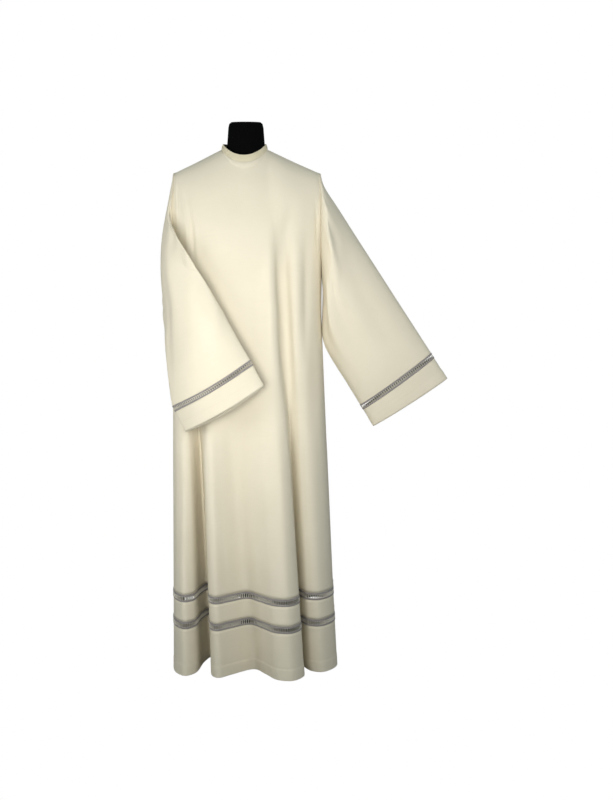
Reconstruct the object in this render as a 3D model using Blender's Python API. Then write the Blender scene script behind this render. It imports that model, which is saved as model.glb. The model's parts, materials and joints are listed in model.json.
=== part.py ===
"""A priest's alb with ladder openwork, standing on a limbless dress form.

Metres, +Z up. The origin is the middle of the foot plate's underside, on the floor. The front faces -Y and
the wearer's left side is at +X.

The robe is cut as a front and a back, each with two strips below it that the openwork bands join, two wide
sleeves with an openwork band and a plain cuff strip, and a low standing neckband. The right sleeve is laid
across the front, and the left one is held out to the side.

Every piece of cloth is a wall on a grid of points. The body's columns run down the cloth from the neck,
shoulder seam or armhole to the hem. Each is a plain tube's column plus a fold, which opens as a cone from
the height where it starts down to the folded hem. Neighbouring pieces share their border points, so their
walls are mitred together, and each border is then drawn in by half the seam's gap.
"""

import bmesh
import bpy
import numpy as np

# ---- Driving dimensions -------------------------------------------------------------------------------

CLOTH = 0.002  # thickness of the cloth's wall
SEAM = 0.0003  # gap between pieces that are sewn together

HEM_Z = 0.008  # the hem hangs just clear of the floor
LOWER_BAND_Z = (0.137, 0.157)  # openwork band nearer the hem
UPPER_BAND_Z = (0.211, 0.231)
CHEST_Z = 0.95  # below this the body is a tube, above it the panels close over the shoulders
SKIRT_ROWS_Z = (UPPER_BAND_Z[1], 0.50, 0.75, CHEST_Z)
UPPER_ROWS = 6  # rows of the panels from CHEST_Z to the shoulder

MIDDLE_Y = -0.030  # plane of the shoulder seams and armpits; the stand's tube is at Y 0
CHEST_HALF_WIDTH, HEM_HALF_WIDTH = 0.207, 0.212
CHEST_FRONT, HEM_FRONT = 0.125, 0.140  # depth of the plain tube before MIDDLE_Y
CHEST_BACK, HEM_BACK = 0.120, 0.150  # and behind it
TUBE_SQUARENESS = 2.4  # power of the tube's superellipse; 2 is an ellipse

# Each fold line: degrees round the chest from the front's middle, where it meets the hem, and the height
# where its fold starts. Crowns stand out, valleys lie in.
FOLD_LINES = [
    # name, chest_deg, hem_x, hem_y, start_z
    ("right_side", -90, -0.205, -0.030, 1.00),
    ("right_side_front", -75, -0.207, -0.105, 1.00),
    ("right_corner", -66, -0.193, -0.163, 1.00),
    ("right_crown", -57, -0.168, -0.190, 1.00),
    ("right_turn", -49, -0.143, -0.164, 1.02),
    ("right_tuck", -43, -0.125, -0.062, 1.05),
    ("right_deep_valley", -39, -0.108, -0.012, 1.05),
    ("middle_right_edge", -33, -0.093, -0.190, 1.05),
    ("middle_right_crown", -27, -0.076, -0.208, 1.05),
    ("middle_slope", -20, -0.040, -0.176, 0.98),
    ("middle_soft_valley", -13, 0.020, -0.128, 0.92),
    ("middle_rise", -4, 0.053, -0.173, 0.98),
    ("middle_crown", 5, 0.087, -0.226, 1.10),
    ("middle_left_crown", 11, 0.126, -0.235, 1.25),
    ("middle_left_edge", 16, 0.158, -0.190, 1.30),
    ("left_valley", 22, 0.148, -0.085, 1.32),
    ("left_inner_crown", 30, 0.178, -0.143, 1.25),
    ("left_crown", 41, 0.207, -0.155, 1.10),
    ("left_corner", 55, 0.236, -0.127, 1.00),
    ("left_side_front", 69, 0.251, -0.085, 0.98),
    ("left_side", 90, 0.247, -0.030, 0.98),
    ("back_left_ridge", 100, 0.248, 0.022, 1.00),
    ("back_left_valley", 109, 0.220, 0.052, 1.00),
    ("back_left_crown", 118, 0.230, 0.110, 1.02),
    ("back_left_slope", 129, 0.188, 0.128, 1.05),
    ("back_valley_1", 137, 0.152, 0.092, 1.08),
    ("back_crown_1", 146, 0.136, 0.170, 1.10),
    ("back_slope_1", 155, 0.092, 0.180, 1.12),
    ("back_valley_2", 163, 0.070, 0.112, 1.15),
    ("back_crown_2", 172, 0.040, 0.186, 1.15),
    ("back_middle", 181, -0.004, 0.194, 1.12),
    ("back_valley_3", 190, -0.030, 0.118, 1.15),
    ("back_crown_3", 199, -0.060, 0.178, 1.12),
    ("back_slope_3", 208, -0.105, 0.182, 1.08),
    ("back_valley_4", 217, -0.128, 0.102, 1.08),
    ("back_right_crown", 228, -0.163, 0.134, 1.02),
    ("back_right_corner", 239, -0.197, 0.110, 1.00),
    ("back_right_valley", 250, -0.186, 0.050, 1.00),
    ("back_right_ridge", 260, -0.205, 0.014, 1.00),
]
DENSE = 4000  # points of the hem's curve from which the columns are picked

# Where each stretch of columns ends at the top of the robe
TOP_STRETCHES = [
    # from_deg, to_deg, columns, border
    (-90, -51, 10, "right_armhole_front"),
    (-51, -20, 10, "right_shoulder_front"),
    (-20, 20, 12, "neckline_front"),
    (20, 51, 10, "left_shoulder_front"),
    (51, 90, 10, "left_armhole_front"),
    (90, 129, 10, "left_armhole_back"),
    (129, 160, 10, "left_shoulder_back"),
    (160, 200, 12, "neckline_back"),
    (200, 231, 10, "right_shoulder_back"),
    (231, 270, 10, "right_armhole_back"),
]
FRONT_COLUMNS = slice(0, 53)
BACK_COLUMNS = slice(52, 105)

NECK_X = -0.004  # middle of the neckline
# Rings round the neck: half its width, its reach before and behind MIDDLE_Y, and its heights
NECKLINE = {"half_width": 0.063, "front": 0.063, "back": 0.066}
NECKLINE |= {"side_z": 1.442, "front_z": 1.407, "back_z": 1.436}
NECKBAND_TOP = {"half_width": 0.0585, "front": 0.059, "back": 0.060}
NECKBAND_TOP |= {"side_z": 1.4565, "front_z": 1.426, "back_z": 1.456}

LEFT_TIP, RIGHT_TIP = (0.203, 1.378), (-0.1975, 1.379)  # x and z of the shoulder tips
LEFT_PIT, RIGHT_PIT = (0.207, 1.085), (-0.207, 1.085)  # x and z of the armpits
ARMHOLE_FRONT, ARMHOLE_BACK = 0.062, 0.080  # how far each armhole bows before and behind MIDDLE_Y
SHOULDER_CURVE = 1.1  # power of the shoulder seam's rise towards the neck

# Each sleeve section: how far the cloth is turned round the arm there, and the points at its outer fold,
# its front, its inner fold and its back
LEFT_SLEEVE = [
    # name, turn_deg, outer, front, inner, back
    ("cap", 0, (0.2125, -0.030, 1.343), (0.223, -0.122, 1.200),
     (0.2115, -0.035, 1.045), (0.223, 0.050, 1.200)),
    ("upper_arm", 0, (0.251, -0.030, 1.284), (0.242, -0.118, 1.130),
     (0.2135, -0.040, 0.985), (0.242, 0.036, 1.130)),
    ("arm", 0, (0.294, -0.030, 1.217), (0.264, -0.108, 1.060),
     (0.2155, -0.045, 0.925), (0.264, 0.022, 1.060)),
    ("elbow", 0, (0.354, -0.030, 1.125), (0.302, -0.098, 0.985),
     (0.239, -0.045, 0.868), (0.302, 0.012, 0.985)),
    ("forearm", 0, (0.414, -0.032, 1.0325), (0.346, -0.090, 0.915),
     (0.2725, -0.045, 0.809), (0.346, 0.006, 0.915)),
    ("wrist", 0, (0.4685, -0.034, 0.949), (0.387, -0.084, 0.850),
     (0.300, -0.045, 0.764), (0.387, 0.000, 0.850)),
    ("band_top", 0, (0.510, -0.035, 0.885), (0.412, -0.078, 0.8135),
     (0.3134, -0.045, 0.742), (0.412, -0.004, 0.8135)),
    ("band_end", 0, (0.519, -0.035, 0.8705), (0.421, -0.076, 0.799),
     (0.3223, -0.045, 0.728), (0.421, -0.006, 0.799)),
    ("cuff_edge", 0, (0.556, -0.036, 0.8137), (0.4535, -0.070, 0.7475),
     (0.3508, -0.045, 0.6815), (0.4535, -0.012, 0.7475)),
]
RIGHT_SLEEVE = [
    # name, turn_deg, outer, front, inner, back
    ("cap", 90, (-0.225, 0.034, 1.185), (-0.2115, -0.048, 1.308),
     (-0.2110, -0.099, 1.205), (-0.213, -0.045, 1.060)),
    ("upper_arm", 80, (-0.2305, 0.000, 1.115), (-0.2225, -0.090, 1.205),
     (-0.160, -0.172, 1.165), (-0.212, -0.085, 1.048)),
    ("arm", 60, (-0.2285, -0.032, 1.045), (-0.214, -0.125, 1.120),
     (-0.113, -0.184, 1.100), (-0.209, -0.118, 1.025)),
    ("elbow", 30, (-0.2265, -0.072, 0.985), (-0.165, -0.196, 1.035),
     (-0.059, -0.186, 1.012), (-0.180, -0.150, 0.975)),
    ("forearm", 10, (-0.2215, -0.105, 0.915), (-0.135, -0.212, 0.960),
     (-0.038, -0.192, 0.974), (-0.135, -0.178, 0.920)),
    ("wrist", 0, (-0.2115, -0.130, 0.830), (-0.110, -0.220, 0.880),
     (-0.0106, -0.200, 0.924), (-0.105, -0.190, 0.860)),
    ("band_top", 0, (-0.1986, -0.150, 0.751), (-0.090, -0.226, 0.815),
     (0.0145, -0.206, 0.8825), (-0.090, -0.199, 0.805)),
    ("band_end", 0, (-0.1904, -0.154, 0.736), (-0.083, -0.227, 0.801),
     (0.0225, -0.208, 0.868), (-0.083, -0.201, 0.791)),
    ("cuff_edge", 0, (-0.162, -0.168, 0.684), (-0.054, -0.230, 0.747),
     (0.051, -0.212, 0.8131), (-0.054, -0.207, 0.737)),
]
SLEEVE_HALF_COLUMNS = 10  # columns over each half of a sleeve; the armhole stretches above have as many

# The left sleeve's one large fold, a trough down its front from the shoulder
SLEEVE_FOLD = {"round_deg": 118, "width_deg": 20, "depth": 0.013, "sections": (0, 5)}

FORM_RINGS = [
    # name, z, half_width, half_depth, middle_y
    ("underside", 0.740, 0.146, 0.088, -0.030),
    ("hip", 0.752, 0.150, 0.092, -0.030),
    ("low_waist", 0.840, 0.148, 0.094, -0.030),
    ("waist", 0.960, 0.142, 0.092, -0.030),
    ("ribs", 1.080, 0.152, 0.102, -0.030),
    ("chest", 1.180, 0.162, 0.104, -0.030),
    ("upper_chest", 1.270, 0.166, 0.094, -0.030),
    ("shoulder", 1.335, 0.158, 0.074, -0.030),
    ("shoulder_top", 1.372, 0.128, 0.058, -0.030),
    ("neck_slope", 1.400, 0.084, 0.051, -0.030),
    ("neck_foot", 1.425, 0.0555, 0.0495, -0.031),
    ("neck_low", 1.452, 0.0515, 0.0490, -0.031),
    ("neck_high", 1.500, 0.0480, 0.0470, -0.031),
    ("neck_round", 1.5105, 0.0455, 0.0450, -0.031),
    ("neck_top", 1.5150, 0.0400, 0.0395, -0.031),
]
FORM_SIDES = 28
POLE_RADIUS = 0.026
POLE_SIDES = 20
BASE_RADIUS, BASE_THICK, BASE_RIM = 0.105, 0.014, 0.005
BASE_CROWN_RADIUS = 0.040  # the foot plate slopes up from its rim to this circle round the tube
BASE_SIDES = 40

IVORY = (0.80, 0.76, 0.62)
OPENWORK_GREY = (0.62, 0.60, 0.55)
FORM_BLACK = (0.012, 0.011, 0.013)
STAND_BLACK = (0.02, 0.02, 0.022)


# ---- Curves -------------------------------------------------------------------------------------------


def smooth_closed_curve(points, count):
    """A closed curve through the points, as cubic pieces between each two, at count even steps of a
    parameter that grows with the square root of the distance, and that parameter at each given point."""
    ring = np.vstack([points, points[:1]])
    steps = np.sqrt(np.linalg.norm(np.diff(ring, axis=0), axis=1))
    knots = np.concatenate([[0], np.cumsum(steps)])
    slopes = np.diff(ring, axis=0) / steps[:, None]
    before, after = np.roll(steps, 1)[:, None], steps[:, None]
    tangents = (np.roll(slopes, 1, axis=0) * after + slopes * before) / (before + after)
    at = np.linspace(0, knots[-1], count + 1)
    piece = np.clip(np.searchsorted(knots, at, side="right") - 1, 0, len(points) - 1)
    following = (piece + 1) % len(points)
    size = steps[piece][:, None]
    part = (at[:, None] - knots[piece][:, None]) / size
    curve = (
        (2 * part**3 - 3 * part**2 + 1) * points[piece]
        + (part**3 - 2 * part**2 + part) * size * tangents[piece]
        + (3 * part**2 - 2 * part**3) * points[following]
        + (part**3 - part**2) * size * tangents[following]
    )
    return at, curve, knots


def tube_point(degrees, z):
    """The plain tube's point at an angle from the front's middle: a superellipse that widens downwards."""
    down = np.clip((CHEST_Z - z) / (CHEST_Z - HEM_Z), 0, 1)
    angle = np.radians(degrees)
    across, forward = np.sin(angle), np.cos(angle)
    half_width = CHEST_HALF_WIDTH + (HEM_HALF_WIDTH - CHEST_HALF_WIDTH) * down
    front = CHEST_FRONT + (HEM_FRONT - CHEST_FRONT) * down
    back = CHEST_BACK + (HEM_BACK - CHEST_BACK) * down
    power = 2 / TUBE_SQUARENESS
    x = half_width * np.sign(across) * np.abs(across) ** power
    y = MIDDLE_Y - np.where(forward > 0, front, back) * np.sign(forward) * np.abs(forward) ** power
    return np.stack([x, y], axis=-1)


def neck_ring(ring, degrees):
    """Points of a ring round the neck, lower at the front than at the sides, at angles from the front."""
    angle = np.radians(degrees)
    forward = np.cos(angle)
    x = NECK_X + ring["half_width"] * np.sin(angle)
    y = MIDDLE_Y - np.where(forward > 0, ring["front"], ring["back"]) * forward
    drop = np.where(forward > 0, ring["side_z"] - ring["front_z"], ring["side_z"] - ring["back_z"])
    return np.stack([x, y, ring["side_z"] - drop * np.abs(forward) ** 1.6], axis=-1)


def armhole_point(side, degrees):
    """The armhole's loop from the shoulder tip (0) through its front (90) to the armpit (180) and back."""
    tip, pit = (LEFT_TIP, LEFT_PIT) if side > 0 else (RIGHT_TIP, RIGHT_PIT)
    angle = np.radians(degrees)
    low = (1 - np.cos(angle)) / 2
    bow = np.where(np.sin(angle) > 0, ARMHOLE_FRONT, ARMHOLE_BACK)
    x = tip[0] + (pit[0] - tip[0]) * low
    z = tip[1] + (pit[1] - tip[1]) * low
    return np.stack([x, MIDDLE_Y - bow * np.sin(angle), z], axis=-1)


def shoulder_point(side, out):
    """The shoulder seam's point, from the neckline (0) to the shoulder's tip (1)."""
    tip = LEFT_TIP if side > 0 else RIGHT_TIP
    neck = neck_ring(NECKLINE, 90.0 * side)
    x = neck[0] + (tip[0] - neck[0]) * out
    z = tip[1] + (neck[2] - tip[1]) * (1 - out) ** SHOULDER_CURVE
    return np.stack([x, np.full_like(x, MIDDLE_Y), z], axis=-1)


def top_border(border, part):
    """Points of one stretch of the robe's top border, part of the way along it (0 to 1)."""
    side = 1 if border.startswith("left") else -1
    if border == "neckline_front":
        return neck_ring(NECKLINE, -90 + 180 * part)
    if border == "neckline_back":
        return neck_ring(NECKLINE, 90 + 180 * part)
    if "shoulder" in border:
        outwards = (side > 0) == border.endswith("front")
        return shoulder_point(side, part if outwards else 1 - part)
    degrees = {
        "left_armhole_front": 180 * part,
        "left_armhole_back": 180 + 180 * part,
        "right_armhole_front": 180 - 180 * part,
        "right_armhole_back": 360 - 180 * part,
    }[border]
    return armhole_point(side, degrees)


# ---- The body's grid ----------------------------------------------------------------------------------


def body_columns():
    """The angle, hem point, fold start and top point of each of the body's columns."""
    angles = np.array([row[1] for row in FOLD_LINES], float)
    hem = np.array([row[2:4] for row in FOLD_LINES])
    starts = np.array([row[4] for row in FOLD_LINES])
    at, curve, knots = smooth_closed_curve(hem, DENSE)
    degrees = np.interp(at, knots, np.append(angles, angles[0] + 360))
    start = np.interp(at, knots, np.append(starts, starts[0]))
    along = np.concatenate([[0], np.cumsum(np.linalg.norm(np.diff(curve, axis=0), axis=1))])
    picked, tops = [], []
    for first, last, columns, border in TOP_STRETCHES:
        ends = np.interp([first, last], degrees, along)
        part = np.arange(columns) / columns
        picked.append(ends[0] + (ends[1] - ends[0]) * part)
        tops.append(top_border(border, part))
    picked = np.append(np.concatenate(picked), along[-1])
    tops = np.vstack([*tops, tops[0][:1]])
    at_column = np.interp(picked, along, at)
    hem_points = np.stack([np.interp(at_column, at, curve[:, axis]) for axis in (0, 1)], axis=-1)
    hem_points[-1] = hem_points[0]
    return np.interp(at_column, at, degrees), hem_points, np.interp(at_column, at, start), tops


def body_grid(heights, upper_rows):
    """Rows of the body's points: at the given heights, then upper_rows more up to the top border."""
    degrees, hem, start, top = body_columns()
    fold = hem - tube_point(degrees, HEM_Z)
    rows = []
    for z in heights:
        opened = np.clip((start - z) / (start - HEM_Z), 0, 1)[:, None]
        rows.append(np.column_stack([tube_point(degrees, z) + fold * opened, np.full(len(hem), z)]))
    chest = tube_point(degrees, CHEST_Z)
    near_neck = np.clip((0.080 - np.abs(top[:, 0])) / 0.040, 0, 1)
    for row in range(1, upper_rows + 1):
        up = np.sin(np.pi / 2 * row / upper_rows)
        rounded = (1 - min(up, 1) ** 3.5) ** 0.5
        depth = (1 - near_neck) * rounded + near_neck * (1 - up**3)
        z = CHEST_Z + (top[:, 2] - CHEST_Z) * up
        opened = np.clip((start - z) / (start - HEM_Z), 0, 1) * (1 - up**4)
        x = chest[:, 0] + (top[:, 0] - chest[:, 0]) * up**2 + fold[:, 0] * opened
        y = top[:, 1] + (chest[:, 1] - top[:, 1]) * depth + fold[:, 1] * opened
        rows.append(np.column_stack([x, y, z]))
    return np.array(rows)


def sleeve_degrees(side):
    """Angles round a sleeve from its upper fold, in the order of the body's columns at its armhole."""
    degrees = np.linspace(0, 360, 2 * SLEEVE_HALF_COLUMNS + 1)
    return degrees if side > 0 else degrees[::-1]


def sleeve_grid(side, sections):
    """Rows of a sleeve's points from the armhole to the cuff. Each section swings from its outer fold
    through its front, inner fold and back: an ellipse whose long axis is bowed like a crescent, so that
    it reaches all four points. Its turn carries the columns round it."""
    degrees = sleeve_degrees(side)
    rows = [armhole_point(side, degrees)]
    for _, turn, outer, front, inner, back in sections:
        outer, front, inner, back = (np.array(point) for point in (outer, front, inner, back))
        angle = np.radians(degrees + turn)
        across, forward = np.cos(angle)[:, None], np.sin(angle)[:, None]
        middle = (outer + inner) / 2
        bow = (front + back) / 2 - middle
        rows.append(middle + across * (outer - inner) / 2 + forward**2 * bow + forward * (front - back) / 2)
    rows = np.array(rows)
    rows[:, -1] = rows[:, 0]
    return rows


def press_sleeve_fold(rows):
    """Presses the left sleeve's trough into its front: deepest along one line, fading along its length."""
    degrees = sleeve_degrees(1)
    first, last = SLEEVE_FOLD["sections"]
    across = np.exp(-(((degrees - SLEEVE_FOLD["round_deg"]) / SLEEVE_FOLD["width_deg"]) ** 2))
    for row in range(first + 1, last):
        along = np.sin(np.pi * (row - first) / (last - first))
        rows[row, :, 1] += SLEEVE_FOLD["depth"] * along * across
    return rows


# ---- Walls from grids ---------------------------------------------------------------------------------


def unit(vectors):
    return vectors / np.maximum(np.linalg.norm(vectors, axis=-1, keepdims=True), 1e-12)


def point_normals(grid):
    """The outward normal of each grid point: the mean of the faces round it."""
    across = grid[:, 1:] - grid[:, :-1]
    up = grid[1:] - grid[:-1]
    faces = np.cross(across[:-1] + across[1:], up[:, :-1] + up[:, 1:])
    total = np.zeros_like(grid)
    for rows in (slice(0, -1), slice(1, None)):
        for columns in (slice(0, -1), slice(1, None)):
            total[rows, columns] += faces
    return unit(total)


def shared_normals(pieces):
    """Each piece's normals, with one normal for all the border points that lie in the same place."""
    own = [point_normals(grid).reshape(-1, 3) for _, grid, _ in pieces]
    places = np.vstack([grid.reshape(-1, 3) for _, grid, _ in pieces])
    _, place = np.unique(np.round(places, 6), axis=0, return_inverse=True)
    place = place.reshape(-1)
    total = np.zeros((place.max() + 1, 3))
    np.add.at(total, place, np.vstack(own))
    shared = unit(total)[place]
    ends = np.cumsum([len(normals) for normals in own])[:-1]
    return [part.reshape(grid.shape) for part, (_, grid, _) in zip(np.split(shared, ends), pieces)]


def draw_in(outer, inner, closed):
    """Moves the borders of a wall back along the cloth, square to the seam, by half the seam's gap."""

    def back(border, inside):
        seam = unit(np.gradient(outer[border], axis=0))
        step = outer[inside] - outer[border]
        step -= seam * (step * seam).sum(axis=-1, keepdims=True)
        return unit(step) * SEAM / 2

    pairs = [((0,), (1,)), ((-1,), (-2,))]
    if not closed:
        pairs += [((slice(None), 0), (slice(None), 1)), ((slice(None), -1), (slice(None), -2))]
    moves = [(border, back(border, inside)) for border, inside in pairs]
    for border, move in moves:
        outer[border] += move
        inner[border] += move


def add_wall(piece, normals):
    """One closed wall: the grid, its copy one thickness inside, and the rims that join them."""
    name, grid, closed = piece
    outer = grid.copy()
    inner = grid - normals * CLOTH
    draw_in(outer, inner, closed)
    if closed:
        outer, inner = outer[:, :-1], inner[:, :-1]
    rows, columns = outer.shape[:2]
    index = np.arange(rows * columns).reshape(rows, columns)
    if closed:
        index = np.hstack([index, index[:, :1]])
    inside = index + rows * columns
    corner = index[:-1, :-1], index[:-1, 1:], index[1:, 1:], index[1:, :-1]
    halves = ((0, 1, 2), (0, 2, 3))
    faces = [np.stack([corner[at] for at in half], -1) for half in halves]
    faces += [face[..., ::-1] + rows * columns for face in faces]

    def rim(line, inner_line):
        quads = (line[:-1], inner_line[:-1], inner_line[1:], line[1:])
        return [np.stack([quads[at] for at in half], -1) for half in halves]

    faces += rim(index[0], inside[0])
    faces += [face[:, ::-1] for face in rim(index[-1], inside[-1])]
    if not closed:
        faces += [face[:, ::-1] for face in rim(index[:, 0], inside[:, 0])]
        faces += rim(index[:, -1], inside[:, -1])
    triangles = np.vstack([face.reshape(-1, 3) for face in faces])
    points = np.vstack([outer.reshape(-1, 3), inner.reshape(-1, 3)])
    add_object(name, points, triangles.tolist(), cloth_finish(name))


# ---- Objects and finishes -----------------------------------------------------------------------------


def add_object(name, points, faces, finish):
    """A named mesh object with its own material, shaded smooth with its rims kept sharp."""
    mesh = bpy.data.meshes.new(name)
    mesh.from_pydata(np.asarray(points).tolist(), [], faces)
    mesh.update()
    mesh.shade_smooth()
    mesh.set_sharp_from_angle(angle=np.radians(50))
    body = bpy.data.objects.new(name, mesh)
    bpy.context.scene.collection.objects.link(body)
    mesh.materials.append(make_material(name, *finish))
    return body


def make_material(name, colour, roughness, metallic):
    material = bpy.data.materials.new(name)
    material.use_nodes = True
    shader = material.node_tree.nodes["Principled BSDF"]
    shader.inputs["Base Color"].default_value = (*colour, 1)
    shader.inputs["Roughness"].default_value = roughness
    shader.inputs["Metallic"].default_value = metallic
    return material


def cloth_finish(name):
    return (OPENWORK_GREY if name.startswith("openwork") else IVORY), 0.85, 0.0


# ---- The pieces ---------------------------------------------------------------------------------------


def body_pieces():
    """Front and back of the main panels, the two openwork bands and the two plain strips."""
    levels = {
        "strip_hem": body_grid((HEM_Z, LOWER_BAND_Z[0]), 0),
        "openwork_lower": body_grid(LOWER_BAND_Z, 0),
        "strip_middle": body_grid((LOWER_BAND_Z[1], UPPER_BAND_Z[0]), 0),
        "openwork_upper": body_grid(UPPER_BAND_Z, 0),
        "panel": body_grid(SKIRT_ROWS_Z, UPPER_ROWS),
    }
    pieces = []
    for level, grid in levels.items():
        for half, columns in (("front", FRONT_COLUMNS), ("back", BACK_COLUMNS)):
            name = f"{level}_{half}" if level.startswith("openwork") else f"{half}_{level}"
            pieces.append((name, grid[:, columns], False))
    return pieces


def sleeve_pieces():
    """Each sleeve in three lengths: the sleeve itself, its openwork band and its cuff strip."""
    pieces = []
    for hand, side, sections in (("left", 1, LEFT_SLEEVE), ("right", -1, RIGHT_SLEEVE)):
        rows = sleeve_grid(side, sections)
        if hand == "left":
            rows = press_sleeve_fold(rows)
        pieces.append((f"sleeve_{hand}", rows[:-2], True))
        pieces.append((f"openwork_sleeve_{hand}", rows[-3:-1], True))
        pieces.append((f"cuff_{hand}", rows[-2:], True))
    return pieces


def neckband_piece(neck_columns):
    """The standing band, once round the neck from the left shoulder, with its ends meeting there."""
    degrees = 90 + np.linspace(0, 360, neck_columns + 1)
    rows = [neck_ring(NECKLINE, degrees), neck_ring(NECKBAND_TOP, degrees)]
    return ("neckband", np.array(rows), False)


def add_form():
    """The dress form: one smooth closed body of elliptical rings, flat underneath and on its neck."""
    angle = 2 * np.pi * np.arange(FORM_SIDES) / FORM_SIDES
    points, faces = [], []
    for _, z, half_width, half_depth, middle_y in FORM_RINGS:
        ring = [half_width * np.cos(angle), middle_y + half_depth * np.sin(angle), np.full(FORM_SIDES, z)]
        points += np.stack(ring, axis=-1).tolist()
    for ring in range(len(FORM_RINGS) - 1):
        for side in range(FORM_SIDES):
            low, after = ring * FORM_SIDES + side, ring * FORM_SIDES + (side + 1) % FORM_SIDES
            faces.append([low, after, after + FORM_SIDES, low + FORM_SIDES])
    faces.append(list(range(FORM_SIDES))[::-1])
    faces.append([(len(FORM_RINGS) - 1) * FORM_SIDES + side for side in range(FORM_SIDES)])
    add_object("form_torso", points, faces, (FORM_BLACK, 0.9, 0.0))


def add_turned(name, profile, sides, finish):
    """A solid turned round the stand's axis from radius and height pairs, bottom to top."""
    mesh = bmesh.new()
    rings = []
    for radius, z in profile:
        made = bmesh.ops.create_circle(mesh, cap_ends=False, radius=radius, segments=sides)["verts"]
        for vertex in made:
            vertex.co.z = z
        rings.append(made)
    for low, high in zip(rings, rings[1:]):
        for side in range(sides):
            after = (side + 1) % sides
            mesh.faces.new([low[side], low[after], high[after], high[side]])
    mesh.faces.new(rings[0])
    mesh.faces.new(rings[-1])
    bmesh.ops.recalc_face_normals(mesh, faces=mesh.faces)
    mesh.verts.index_update()
    points = [vertex.co[:] for vertex in mesh.verts]
    faces = [[vertex.index for vertex in face.verts] for face in mesh.faces]
    mesh.free()
    add_object(name, points, faces, finish)


def add_stand():
    """The tube under the form and the heavy round foot plate that it stands in."""
    tube_ends = (BASE_THICK + SEAM, FORM_RINGS[0][1] - SEAM)
    add_turned("form_pole", [(POLE_RADIUS, z) for z in tube_ends], POLE_SIDES, (STAND_BLACK, 0.35, 0.9))
    plate = [(BASE_RADIUS, 0.0), (BASE_RADIUS, BASE_RIM), (BASE_CROWN_RADIUS, BASE_THICK)]
    add_turned("form_base", plate, BASE_SIDES, (STAND_BLACK, 0.45, 0.6))


def main():
    for old in list(bpy.data.objects):
        bpy.data.objects.remove(old, do_unlink=True)
    neck_columns = sum(row[2] for row in TOP_STRETCHES if row[3].startswith("neckline"))
    pieces = [*body_pieces(), *sleeve_pieces(), neckband_piece(neck_columns)]
    for piece, normals in zip(pieces, shared_normals(pieces)):
        add_wall(piece, normals)
    add_form()
    add_stand()


main()
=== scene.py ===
# %% [markdown]
# An alb is the long light robe that a priest wears under the other vestments. This one is ivory cloth, worn
# by a black form with no limbs. The wearer's right sleeve is laid across the front and the left one is held
# out. The solid pieces come first, as a fixed frame. Every piece made below lies on the solid that it stands
# for.

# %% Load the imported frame
import json
import math

import bpy
import numpy as np
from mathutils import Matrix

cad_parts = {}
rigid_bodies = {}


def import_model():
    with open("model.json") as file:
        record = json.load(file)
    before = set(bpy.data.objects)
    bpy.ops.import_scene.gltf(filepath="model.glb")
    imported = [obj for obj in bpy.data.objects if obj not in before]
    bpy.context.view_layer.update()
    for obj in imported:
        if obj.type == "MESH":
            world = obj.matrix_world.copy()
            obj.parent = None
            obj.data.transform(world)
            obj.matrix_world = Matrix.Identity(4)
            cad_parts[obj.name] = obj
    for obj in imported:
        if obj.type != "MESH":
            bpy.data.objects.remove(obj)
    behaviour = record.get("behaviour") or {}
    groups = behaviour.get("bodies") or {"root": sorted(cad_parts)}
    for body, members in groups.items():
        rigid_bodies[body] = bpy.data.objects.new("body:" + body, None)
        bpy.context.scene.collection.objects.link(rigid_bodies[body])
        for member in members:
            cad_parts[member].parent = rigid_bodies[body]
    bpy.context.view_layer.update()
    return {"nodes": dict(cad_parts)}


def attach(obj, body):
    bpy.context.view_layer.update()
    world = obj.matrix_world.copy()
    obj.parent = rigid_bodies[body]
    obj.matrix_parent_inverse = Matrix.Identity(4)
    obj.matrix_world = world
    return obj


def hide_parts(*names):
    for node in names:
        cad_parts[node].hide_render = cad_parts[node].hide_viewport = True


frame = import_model()
print("solid pieces:", len(frame["nodes"]))

# %% [markdown]
# The camera stands a little to the wearer's left of the robe, 4.3 m in front and level with the shoulders. A
# long lens keeps the robe's upright lines straight, and the camera looks slightly down.

# %% Camera
CAMERA_PLACE = (0.165, -4.33, 1.32)
CAMERA_DOWN_DEG = 7.525
LENS_MM, SENSOR_MM = 70.0, 36.0

camera = bpy.data.objects.new("camera", bpy.data.cameras.new("camera"))
camera.data.lens = LENS_MM
camera.data.sensor_width = SENSOR_MM
camera.location = CAMERA_PLACE
camera.rotation_euler = (math.radians(90 - CAMERA_DOWN_DEG), 0, 0)
bpy.context.scene.collection.objects.link(camera)
bpy.context.scene.camera = camera

# %% [markdown]
# The studio is a pale floor and a white surround. One soft lamp stands close in front, at the height of the
# waist, so the middle of the robe is brightest and the light fades towards the shoulders and the hem. Two
# weaker lamps fill in, one from high up on the wearer's left and one from the wearer's right, and a third
# lights the back. The floor and the surround are seen as white, but light the robe more weakly than they
# look, so that its folds keep their shade.

# %% Floor, surround and lamps
WARM_WHITE, PALE_WHITE = (1.0, 0.97, 0.90), (1.0, 0.98, 0.94)
LAMPS = {
    # name: place, aim, side, watts, spread_deg, colour
    "key_lamp": ((-0.24, -1.26, 0.89), (0.0, -0.15, 0.96), 0.6, 4.7, 125, WARM_WHITE),
    "high_fill_lamp": ((1.3, -2.0, 1.8), (0.1, 0.0, 1.1), 1.2, 6.0, 90, PALE_WHITE),
    "right_fill_lamp": ((-1.9, -1.0, 1.2), (-0.1, 0.0, 1.0), 1.0, 3.6, 90, PALE_WHITE),
    "back_fill_lamp": ((-0.5, 2.6, 1.7), (0.0, 0.0, 0.9), 1.6, 16, 120, PALE_WHITE),
}
SURROUND_LIGHT, SURROUND_COLOUR = 0.31, (0.88, 1.0, 0.99, 1)
FLOOR_SIDE, FLOOR_COLOUR = 12.0, (0.22, 0.22, 0.21, 1)


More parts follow.
